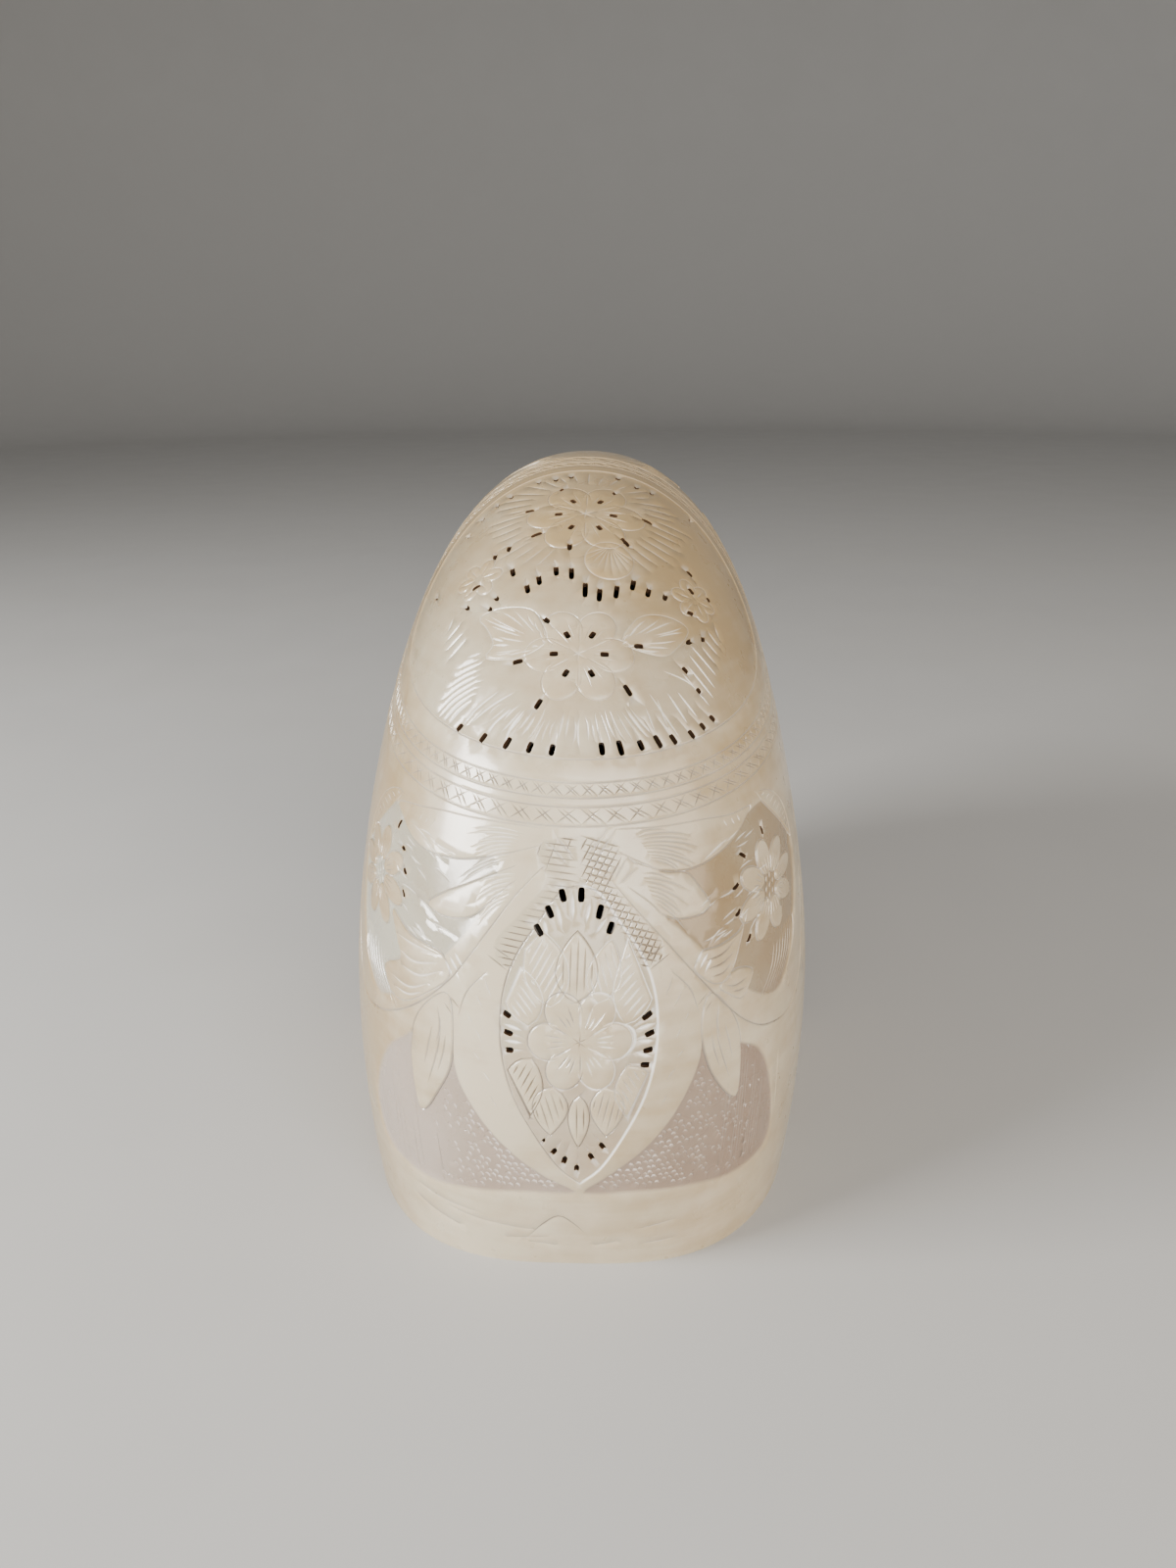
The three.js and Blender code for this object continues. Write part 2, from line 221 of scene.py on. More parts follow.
class Spiral:
    """A logarithmic spiral and the section that grows along it, in millimetres."""

    table_points = 3001
    lip_halvings = 40
    rim_halvings = 50
    rim_points = 110
    edge_points = 90
    rim_crowding = 1.8
    steepest_rim = 0.3
    probe = 0.05

    def __init__(self, form):
        self.form = form
        self.front_radius = form.belly_radius / MM
        self.growth = math.log(form.whorl_expansion) / math.tau
        self.hole = form.umbilicus_radius / MM
        level = math.atan(1 / self.growth)
        self.axis_height = self.radius(math.pi + level) * math.sin(level) - form.ground_flat / MM
        steep = level - math.pi / 2
        self.axis_depth = (self.radius(steep) - self.radius(steep + math.pi)) * math.cos(steep) / 2
        self.lip = self.find_lip()
        self.lip_radius = self.radius(-self.lip)
        self.stretch = math.sqrt(1 + self.growth**2) / self.growth
        self.measure_girth()

    def radius(self, turn):
        return self.front_radius * np.exp(-self.growth * turn)

    def find_lip(self):
        """The angle below the front at which the belly meets the ground, found by halving."""
        high = 0.0
        low = math.pi / 3
        for _ in range(self.lip_halvings):
            middle = (high + low) / 2
            if self.radius(-middle) * math.sin(middle) < self.axis_height:
                high = middle
            else:
                low = middle
        return high

    def measure_girth(self):
        """Tables of the way along the plain section, over the belly and then down the flank."""
        form = self.form
        self.belly_table = np.linspace(0, 1, self.table_points)
        turn = math.pi / 2 * self.belly_table ** (form.belly_power / 2)
        across = form.half_width * np.sin(turn) ** (2 / form.belly_power)
        height = form.widest_at + (1 - form.widest_at) * np.cos(turn)
        self.belly_girth = way_along(across, height)
        self.flank_table = self.belly_table
        across = form.half_width * (1 - form.flank_hollow * self.flank_table**form.flank_hollow_power)
        height = form.widest_at * (1 - self.flank_table)
        self.flank_girth = self.belly_girth[-1] + way_along(across, height)

    def turn_at(self, length_along):
        return -np.log((self.lip_radius - length_along / self.stretch) / self.front_radius) / self.growth

    def length_at(self, turn):
        return self.stretch * (self.lip_radius - self.radius(turn))

    def wall(self, turn):
        thin = self.form.thinnest_wall / MM
        return np.maximum(thin, self.form.lip_wall / MM * np.sqrt(self.radius(turn) / self.lip_radius))

    def section(self, turn, girth):
        """Distance from the middle plane and from the axis."""
        form = self.form
        radius = self.radius(turn)
        way = np.abs(girth) / radius
        lip = np.exp(-np.maximum(turn + self.lip, -form.lip_overrun) / form.lip_fade)
        half = form.half_width * radius * (1 - form.lip_narrowing * lip)
        widest = form.widest_at * radius
        power = form.belly_power + form.lip_squareness * lip
        sweep = math.pi / 2 * np.interp(way, self.belly_girth, self.belly_table) ** (power / 2)
        fall = np.interp(way, self.flank_girth, self.flank_table)
        on_belly = way <= self.belly_girth[-1]
        belly_across = half * np.sin(sweep) ** (2 / power)
        flank_across = half * (1 - form.flank_hollow * fall**form.flank_hollow_power)
        across = np.where(on_belly, belly_across, flank_across)
        height = np.where(on_belly, widest + (radius - widest) * np.cos(sweep), widest * (1 - fall))
        return np.sign(girth) * across, height

    def place(self, across, height, turn):
        depth = self.axis_depth - height * np.cos(turn)
        return np.stack([across, depth, self.axis_height + height * np.sin(turn)], -1)

    def axis_place(self):
        """The spiral's axis in metres."""
        return 0.0, self.axis_depth * MM, self.axis_height * MM

    def surface(self, sheet):
        """Points of the outer surface from sheet points (girth, length)."""
        turn = self.turn_at(sheet[:, 1])
        across, height = self.section(turn, sheet[:, 0])
        return self.place(across, height, turn)

    def frame_at(self, sheet):
        """Unit directions across, along and out of the surface."""
        aside = np.array([self.probe, 0])
        ahead = np.array([0, self.probe])
        across = unit(self.surface(sheet + aside) - self.surface(sheet - aside))
        along = unit(self.surface(sheet + ahead) - self.surface(sheet - ahead))
        return across, along, unit(np.cross(across, along))

    def inside(self, sheet):
        """Points of the inner surface below the same sheet points."""
        out = self.frame_at(sheet)[2]
        return self.surface(sheet) - out * self.wall(self.turn_at(sheet[:, 1]))[:, None]

    def margin(self, down):
        """Angle of the mouth's margin, from 0 at the widest place down to 1 at the umbilicus."""
        form = self.form
        swell = form.flank_bulge * np.sin(math.pi * np.minimum(down / form.flank_bulge_end, 1))
        return -self.lip - form.mouth_advance * (1 + swell - form.umbilicus_recess * down**3)

    def side_girth(self, turn, side):
        """Girth from a side share: 0 to 1 over the belly, 1 to 2 down the flank to the umbilicus."""
        radius = self.radius(turn)
        belly = np.interp(np.minimum(side, 1), self.belly_table, self.belly_girth)
        reach = 1 - self.hole / (self.form.widest_at * radius)
        flank = np.interp(np.maximum(side - 1, 0) * reach, self.flank_table, self.flank_girth)
        return radius * np.where(side <= 1, belly, flank)

    def sheet_at(self, turn, side):
        """Sheet points from angles and side shares."""
        return np.stack(np.broadcast_arrays(self.side_girth(turn, side), self.length_at(turn)), 1)

    def border(self):
        """The carved wall's outline on the sheet: rim, flank to the umbilicus, back end and back again."""
        step = np.linspace(0, 1, self.rim_points)
        side = np.concatenate([1 - (1 - step) ** self.rim_crowding, 1 + step[1:]])
        front = self.margin(np.maximum(side - 1, 0))
        low = front.copy()
        high = np.full_like(front, self.steepest_rim)
        for _ in range(self.rim_halvings):
            middle = (low + high) / 2
            girth = self.side_girth(middle, side)
            height = self.section(middle, girth)[1] * np.sin(middle) + self.axis_height
            low = np.where(height < 0, middle, low)
            high = np.where(height < 0, high, middle)
        front = np.maximum(front, low)
        rim = self.sheet_at(front, side)
        end = self.form.chamber_end
        edge = self.sheet_at(np.linspace(front[-1], end, self.edge_points)[1:-1], 2)
        back = self.sheet_at(end, side[::-1])
        right = np.concatenate([rim, edge, back])
        left = right[1:-1][::-1] * np.array([-1, 1])
        return np.concatenate([right, left])


# Flat drawing

BATCH = 8000
CURVE_TICKS = 16
LEAF_STEP = 0.7
LEAF_FULLNESS = 0.85


def smooth_line(points, spacing=0.8, closed=False):
    """A curve through the points, with even steps."""
    points = np.asarray(points, float)
    if closed:
        padded = np.concatenate([points[-1:], points, points[:2]])
    else:
        padded = np.concatenate([2 * points[:1] - points[1:2], points, 2 * points[-1:] - points[-2:-1]])
    ticks = np.linspace(0, 1, CURVE_TICKS, endpoint=False)[:, None]
    parts = []
    for first, start, end, last in zip(padded[:-3], padded[1:-2], padded[2:-1], padded[3:]):
        bend = 2 * first - 5 * start + 4 * end - last
        twist = 3 * start - first - 3 * end + last
        parts.append((2 * start + (end - first) * ticks + bend * ticks**2 + twist * ticks**3) / 2)
    curve = np.concatenate(parts + [padded[-2:-1]])
    way = way_along(*curve.T)
    count = max(int(round(way[-1] / spacing)), 6 if closed else 3)
    line = points_at(np.linspace(0, way[-1], count + 1), way, curve)
    return line[:-1] if closed else line


def turned(line, spread):
    """Points moved to the left of the way the line runs."""
    return line + left_of(unit(np.gradient(line, axis=0))) * np.reshape(spread, (-1, 1))


def ring(centre, across, along=None, lean=0.0, count=18):
    """An ellipse, along its lean angle and across it."""
    along = across if along is None else along
    turn = np.linspace(0, math.tau, count, endpoint=False)
    local = np.stack([along * np.cos(turn), across * np.sin(turn)], 1)
    spin = np.array([[math.cos(lean), math.sin(lean)], [-math.sin(lean), math.cos(lean)]])
    return np.asarray(centre, float) + local @ spin


def leaf(base, tip, width, bend=0.0, belly=0.8):
    """A pointed leaf. A positive bend pushes it to the left of the way it grows."""
    way = np.linspace(0, 1, max(int(np.linalg.norm(np.subtract(tip, base)) / LEAF_STEP), 6))
    rib = leaf_rib(base, tip, bend, way)
    half = width / 2 * np.sin(math.pi * way**belly) ** LEAF_FULLNESS
    return np.concatenate([turned(rib, half)[:-1], turned(rib, -half)[1:][::-1]])


def leaf_rib(base, tip, bend, way):
    base = np.asarray(base, float)
    along = np.asarray(tip, float) - base
    side = left_of(along) / np.linalg.norm(along)
    return base + along * way[:, None] + side * (4 * bend * way * (1 - way))[:, None]


def edge_distance(points, outline):
    """Distance to a closed outline, positive inside."""
    result = np.empty(len(points))
    start = outline
    step = np.roll(outline, -1, 0) - start
    rise = np.where(step[:, 1] == 0, TINY, step[:, 1])
    for first in range(0, len(points), BATCH):
        part = points[first:first + BATCH]
        gap = segment_gaps(part, start, step)[0].min(1)
        up = part[:, None, 1] - start[:, 1]
        end_above = part[:, None, 1] < (start + step)[:, 1]
        crossing = start[:, 0] + step[:, 0] * up / rise
        inside = (((up < 0) != end_above) & (part[:, None, 0] < crossing)).sum(1) % 2 == 1
        result[first:first + BATCH] = np.where(inside, gap, -gap)
    return result


def soft_step(value):
    value = np.clip(value, 0, 1)
    return value * value * (3 - 2 * value)


class Carver:
    """Collects the drawing and works out how deep each point of the sheet is cut."""

    behind_scale = 0.85
    stroke_step = 1.2
    wedge_points = 6
    wedge_tip = 0.04
    wedge_spread = 0.85
    wedge_depth = 3
    # Scoops get a little dirt and painted shade.
    wedge_dirt = 0.15
    finest_half = 1e-4

    def __init__(self, sizes):
        self.shift = np.array([sizes.middle_shift / MM, 0])
        self.ramp = sizes.edge_ramp / MM
        self.line_width = sizes.line_width / MM
        self.line_depth = sizes.line_depth / MM
        self.slot_width = sizes.slot_width / MM
        self.mirrored = False
        self.shapes = []
        self.grooves = []
        self.slots = []

    def put(self, points):
        """Places drawn points on the sheet. Mirrored ones go behind the cap, a little smaller."""
        points = np.asarray(points, float)
        if self.mirrored:
            scale = self.behind_scale
            low = PANEL_CENTRE - PANEL_HALF
            high = PANEL_CENTRE + PANEL_HALF
            points = points * (scale, -scale) + (0, high[1] + scale * low[1])
        return points + self.shift

    def shape(self, outline, level, pearl=0.0, ramp=None):
        """Sets the surface's level inside an outline, with a slope at its edge."""
        self.shapes.append((self.put(outline), level, pearl, ramp or self.ramp))

    # The dirt share darkens a line with old dirt and painted shade; the shine share whitens it as a fresh cut
    # with a painted glint.
    def groove(self, line, width=1.0, depth=1.0, taper=0.5, dirt=0.0, shine=0.5):
        """An engraved line that is widest in its middle. Width and depth are shares of the usual ones."""
        way = np.linspace(0, 1, len(line))
        half = np.maximum(width * self.line_width / 2 * np.sin(math.pi * way) ** taper, self.finest_half)
        self.grooves.append((self.put(line), half, depth * self.line_depth, dirt, shine))

    def cut(self, start, end, bend=0.0, **style):
        """A single stroke, straight or bent to its left."""
        count = max(int(np.linalg.norm(np.subtract(end, start)) / self.stroke_step), 3)
        self.groove(leaf_rib(start, end, bend, np.linspace(0, 1, count + 1)), **style)

    def wedge(self, start, end, wide, shine):
        """A scooped cut that grows wider and deeper up to the slot at its end."""
        way = np.linspace(self.wedge_tip, 1, self.wedge_points)
        line = leaf_rib(start, end, 0.0, way)
        half = way * wide * self.slot_width * self.wedge_spread
        depth = self.wedge_depth * self.line_depth
        self.grooves.append((self.put(line), half, depth, self.wedge_dirt, shine))

    def slot(self, place, lean, long=1.6, wide=1.0):
        self.slots.append((self.put(place), lean, long, wide * self.slot_width))

    def draw(self, drawing):
        for outline, _, _, ramp in self.shapes:
            drawing.add(outline, closed=True)
            drawing.add(shrunk(outline, ramp), closed=True)
        for line, half, _, _, _ in self.grooves:
            drawing.add(line)
            drawing.add(turned(line, half))
            drawing.add(turned(line, -half))

    def carve(self, points):
        """Height below the shell's skin at each point, and what its surface is like there: its bare pearl,
        its dirt with painted shade, and its fresh cuts with painted glints.
        """
        height, pearl, deep, dirty, bright = np.zeros((5, len(points)))
        for outline, level, bare, ramp in self.shapes:
            near = np.flatnonzero(within(points, outline, 0))
            rise = soft_step(edge_distance(points[near], outline) / ramp)
            height[near] += (level - height[near]) * rise
            pearl[near] += (bare - pearl[near]) * rise
        for line, half, depth, dirt, shine in self.grooves:
            near = np.flatnonzero(within(points, line, half.max()))
            if len(near):
                profile = stroke_profile(points[near], line, half)
                deep[near] = np.maximum(deep[near], depth * profile)
                dirty[near] = np.maximum(dirty[near], profile * dirt)
                bright[near] = np.maximum(bright[near], profile * (1 - dirt) * shine)
        return height - deep, {"pearl": pearl, "dirty": dirty, "bright": bright}


def within(points, line, room):
    low = line.min(0) - room
    high = line.max(0) + room
    return (points >= low).all(1) & (points <= high).all(1)


def stroke_profile(points, line, half):
    """Depth of a stroke at each point, as a share of its full depth."""
    gap, way = segment_gaps(points, line[:-1], np.diff(line, axis=0))
    room = half[:-1] + way * (half[1:] - half[:-1])
    return (np.clip(1 - gap / room, 0, 1) * room / half.max()).max(1)


def shrunk(outline, depth):
    """The outline moved inwards by a small depth."""
    after = np.roll(outline, -1, 0)
    area = (outline[:, 0] * after[:, 1] - after[:, 0] * outline[:, 1]).sum()
    inward = left_of(unit(after - np.roll(outline, 1, 0))) * math.copysign(1, area)
    return outline + inward * depth


class Drawing:
    """Points and lines for the triangulation."""

    def __init__(self):
        self.points = []
        self.edges = []

    def add(self, line, closed=False):
        first = len(self.points)
        count = len(line)
        self.points.extend(map(tuple, line))
        self.edges.extend((first + step, first + step + 1) for step in range(count - 1))
        if closed:
            self.edges.append((first + count - 1, first))


# The engraver's pattern, in millimetres right of the engraver's middle line and up from the lip

SEED = 7
ALMOND = [
    (0, 62.6), (2.9, 61.4), (6, 57.2), (9, 53), (11, 48.6), (12, 43.4), (11.9, 37.4), (10.4, 31.4), (7.6, 26),
    (3.6, 20), (0, 17),
]
LOWER_GROUND = {
    1: [(0.4, 15.1), (10, 14.8), (20, 13.3), (27.6, 11.2), (34.5, 9.6), (39.2, 9), (41.2, 11.4), (40.5, 16.8),
        (37.7, 24.9), (33.8, 30.8), (28.2, 34.7), (24.4, 38.6), (21.6, 42.4), (19.9, 42.4), (19.6, 35.2),
        (16.2, 28.6), (11.6, 23.6), (5.6, 19.2)],
    -1: [(-0.4, 15.1), (-10, 14.8), (-20, 13.2), (-27, 11.6), (-34, 10.3), (-40.6, 9.4), (-44.2, 10.6),
         (-45.4, 15.4), (-42.7, 22.8), (-37.3, 30.4), (-29.3, 37), (-25, 41.4), (-21.4, 44.2), (-20.1, 43.6),
         (-20.1, 33.8), (-16.7, 27.7), (-11.4, 22.4), (-5.8, 18.4)],
}
SIDE_GROUND = {
    1: [(11.6, 64.4), (11.8, 61), (13, 57.1), (15.2, 55.1), (18, 52.7), (20.6, 50.4), (25, 46), (30.5, 41.6),
        (36, 38.4), (41.5, 37.4), (46.6, 43), (49.2, 53), (48.6, 63), (44.6, 70.6), (39, 74.4), (34, 74.4),
        (27, 71), (20, 67.5), (14, 64.8)],
    -1: [(-11.8, 65.6), (-12.4, 62), (-13.9, 58.8), (-17.4, 54.5), (-20.6, 51.2), (-25.5, 46.8), (-31, 42.4),
         (-36.5, 39), (-42, 37.8), (-47, 42), (-50, 52), (-49.6, 63), (-46, 70), (-41, 74.4), (-36.5, 74.6),
         (-28, 71.5), (-20, 68), (-14, 66.6)],
}
UPPER_LEAF = {
    1: [(5.4, 67.2), (9.7, 65.2), (12.3, 64.2), (15.7, 63.9), (19.6, 64.6), (23.4, 66.3), (26.6, 68.5),
        (28.8, 70.9), (30.5, 73.4), (25, 72), (19.6, 71.5), (12, 70.6), (5, 70.3)],
    -1: [(-5.6, 68), (-9.6, 67), (-13.9, 66.1), (-18.6, 65.5), (-24.5, 65.9), (-27.8, 67), (-30.3, 68.7),
         (-32, 70.9), (-34, 73.9), (-26, 73.1), (-21.4, 72.6), (-15.7, 71.7), (-5, 70.4)],
}
LOWER_LEAF = {
    1: [(7, 62.2), (10.5, 59.7), (12.4, 57.9), (15, 56.9), (19, 56.9), (20.6, 57.6), (20.9, 58.6),
        (18.7, 61.4), (16.5, 63.6), (13, 64), (10.4, 64.8), (7.4, 65.8)],
    -1: [(-8.8, 63.2), (-10.7, 62), (-13.9, 59.1), (-16.2, 57.4), (-19.2, 56.6), (-22.5, 56.7), (-25.1, 58),
         (-21.8, 60.1), (-17.4, 61.9), (-13.4, 63.5), (-8.8, 65.2)],
}
STEM = {
    1: [(4.6, 63.2), (9.2, 58), (13, 54), (16.5, 50.2), (20.4, 46.1), (24.8, 41.6), (30, 37), (36.3, 33.1),
        (46, 30), (52, 33), (54.6, 42), (54.5, 56)],
    -1: [(-4.8, 65.4), (-7.4, 62.9), (-10.2, 59.9), (-15.1, 53.7), (-18.7, 49.4), (-20.7, 47.2),
         (-25.9, 42.9), (-32.9, 38.4), (-41.4, 34.3), (-48, 33), (-53, 37), (-55, 46), (-54.5, 56)],
}
CURLED_LEAF = {
    1: [[(28.8, 53.9), (27.5, 52.6), (23.3, 51.5), (19.6, 51.4), (18.4, 49.9), (18.3, 48.6), (21.7, 46),
         (24.6, 45.6), (26.4, 47.4), (27.6, 50.3)],
        [(25.3, 46.3), (27.7, 46.6), (31.3, 45.1), (30.7, 43.1), (29.6, 41.9), (28, 41.5), (24.3, 43.9),
         (23.2, 45)]],
    -1: [[(-34.8, 54.9), (-34.2, 51.9), (-33.1, 49.4), (-32.6, 47.2), (-37.8, 44.4), (-37.2, 42),
          (-35.5, 40.2), (-31.2, 40.6), (-25.1, 44.2), (-20.7, 47.7), (-21.9, 50.7),
          (-25.6, 51.5), (-29.8, 52.2)]],
}
PENDANT_LEAF = {
    1: [(21.4, 44.6), (19.8, 39.4), (22.4, 31.6), (28.4, 25), (28.9, 33), (26.6, 39.4)],
    -1: [(-21, 45), (-20.8, 35.4), (-24.2, 28.8), (-29, 23.6), (-30.4, 32.4), (-27.8, 40)],
}
DAISY = {1: (36.8, 58), -1: (-40.8, 60.2)}
DAISY_SLOTS = {
    1: [(34.4, 68.6, 105), (28.6, 64.8, 150), (26.8, 60, 215), (27.4, 55.6, 225), (30.3, 50.6, 240)],
    -1: [(-33.7, 69.7, 60), (-32.1, 65.8, 150), (-31.4, 62, 132), (-31.7, 58.2, 130)],
}
PANEL_CENTRE = np.array([0, 111.8])
PANEL_HALF = np.array([37, 31.5])
PANEL_POINTS = 720
PANEL_SPREAD = 0.45
SHORTEST_HATCH = 1.0
HATCH_GAP = 0.15


def handed(points, hand):
    """Points drawn for the right side, on the right (1) or on the left (-1)."""
    return np.asarray(points, float) * np.array([hand, 1])


def ray(degrees):
    return np.array([math.cos(math.radians(degrees)), math.sin(math.radians(degrees))])


def closed_line(outline):
    return np.vstack([outline, outline[:1]])


def panel_line(offset, spacing=1.0):
    """The cap panel's outline moved outwards, more so at its sides, with even steps."""
    turn = np.linspace(0, math.tau, PANEL_POINTS) - math.pi / 2
    spoke = np.stack([np.cos(turn), np.sin(turn)], 1)
    spread = offset * (1 + PANEL_SPREAD * spoke[:, :1] ** 2)
    line = PANEL_CENTRE + PANEL_HALF * spoke + unit(spoke / PANEL_HALF) * spread
    way = way_along(*line.T)
    return points_at(np.linspace(0, way[-1], int(way[-1] / spacing), endpoint=False), way, line)


def strokes(carver, lines, hand=1, **style):
    """Engraved strokes through two or more points each, drawn for the right side."""
    for line in lines:
        carver.groove(smooth_line(handed(line, hand), 0.9), **style)


def hatch(carver, outline, degrees, pitch, **style):
    """Parallel strokes over a closed outline."""
    outline = np.asarray(outline, float)
    along = ray(degrees)
    side = left_of(along)
    reach = outline @ side
    for level in np.arange(reach.min() + pitch / 2, reach.max(), pitch):
        here = reach - level
        ahead = np.roll(here, -1)
        crossed = np.flatnonzero((here < 0) != (ahead < 0))
        part = here[crossed] / (here[crossed] - ahead[crossed])
        points = outline[crossed] + (np.roll(outline, -1, 0)[crossed] - outline[crossed]) * part[:, None]
        marks = np.sort(points @ along)
        for low, high in zip(marks[::2], marks[1::2]):
            if high - low > SHORTEST_HATCH:
                start = side * level + along * (low + HATCH_GAP)
                end = side * level + along * (high - HATCH_GAP)
                carver.cut(start, end, **style)


def outlined(carver, outline, **style):
    """A shape that keeps the shell's skin, with an engraved line all round it."""
    carver.shape(outline, 0.0)
    carver.groove(closed_line(outline), taper=0.01, **style)


def raised(carver, points, rooted=False, **style):
    """A smooth outlined shape. A rooted one has no line at its base."""
    outline = smooth_line(points, 0.8, closed=not rooted)
    if rooted:
        carver.shape(outline, 0.0)
        carver.groove(outline, taper=0.1, **style)
    else:
        outlined(carver, outline, **style)
    return outline


def flower(carver, centre, petals, reach, petal, dirt, bold):
    """Round petals that meet each other, with short strokes from the middle."""
    centre = np.asarray(centre, float)
    carver.shape(ring(centre, reach * 0.92, count=30), 0.0)
    for count in range(petals):
        degrees = 360 * count / petals
        # Petals towards the left and middle get dirt with painted shade in their lines, those to the right
        # none.
        style = {"depth": bold, "dirt": dirt if ray(degrees)[0] < 0.3 else 0.0, "shine": 0.5 * bold**2}
        outline = ring(centre + ray(degrees) * reach, petal[1], petal[0], math.radians(degrees), 24)
        carver.shape(outline, 0.0)
        carver.groove(np.roll(outline, 8, 0)[:17], width=1.3 * bold, taper=0.25, **style)
        for side, last in ((-13, 0.3), (0, -0.1), (13, 0.2)):
            start = centre + ray(degrees + side) * reach * 0.45
            end = centre + ray(degrees + side * 0.8) * (reach + petal[0] * last)
            carver.cut(start, end, width=1.3 * bold, **style)
        gap = ray(degrees + 180 / petals)
        carver.cut(centre + gap * reach * 0.3, centre + gap * reach * 1.04, width=1.4 * bold, **style)
    for turn in (20, 80, 140):
        start = centre - ray(turn) * reach * 0.26
        end = centre + ray(turn + 8) * reach * 0.3
        carver.cut(start, end, depth=bold, dirt=dirt, shine=0.3)


def scoop(carver, place, degrees, long=1.6, tail=2.0, wide=1.0, shine=0.3):
    """A pierced slot at the wide end of the scoop that leads to it."""
    place = np.asarray(place, float)
    out = ray(degrees)
    carver.slot(place, math.radians(degrees), long, wide)
    carver.wedge(place - out * (tail + long / 2), place + out * (long / 2 + 0.2), wide, shine)


def carve_lower_ground(carver, depth):
    """The sunk pearl ground over the smooth rim, with its fish-scale cuts and fine lines."""
    random = np.random.default_rng(SEED)
    pitch = 1.2
    row_pitch = 0.95
    scale_radius = 0.62
    room = 0.9
    for hand in (1, -1):
        outline = smooth_line(LOWER_GROUND[hand], 0.9, closed=True)
        carver.shape(outline, -depth, pearl=1.0, ramp=0.5)
        columns = np.arange(3, 36, pitch)
        places = np.array([
            (across + pitch / 2 * (row % 2), 11 + row_pitch * row) for across in columns for row in range(28)
        ])
        thin = random.uniform(0, 1, len(places)) < (places[:, 0] - 12) / (26 if hand > 0 else 15)
        places = handed(places, hand) + random.uniform(-0.2, 0.2, places.shape)
        pendant = smooth_line(PENDANT_LEAF[hand], 0.8, closed=True)
        free = (edge_distance(places, outline) > room) & (edge_distance(places, pendant) < -room)
        for place in places[free & ~thin]:
            turn = random.uniform(40, 80)
            scale = [place + scale_radius * ray(turn + step) for step in (-70, -23, 23, 70)]
            carver.groove(scale, width=1.5, depth=1.2, shine=0.22)
        for across in np.arange(14, 44, 0.7):
            start = handed((across, 10 + random.uniform(0, 3)), hand)
            end = handed((across + 0.5, 19 + random.uniform(0, 16)), hand)
            if edge_distance(np.array([start, end]), outline).min() > 0.4:
                carver.cut(start, end, width=0.6, depth=0.5, dirt=0.5)
    wave = [(-10, 5.4), (-6.7, 8.8), (-3.7, 10.6), (-0.9, 8.8), (1, 6.8)]
    strokes(carver, [wave], width=1.6, depth=0.6, dirt=0.6)
    for _ in range(9):
        start = random.uniform((-36, 4), (20, 9))
        carver.cut(start, start + random.uniform((4, -0.6), (14, 0.8)), width=0.6, depth=0.4, dirt=0.4)


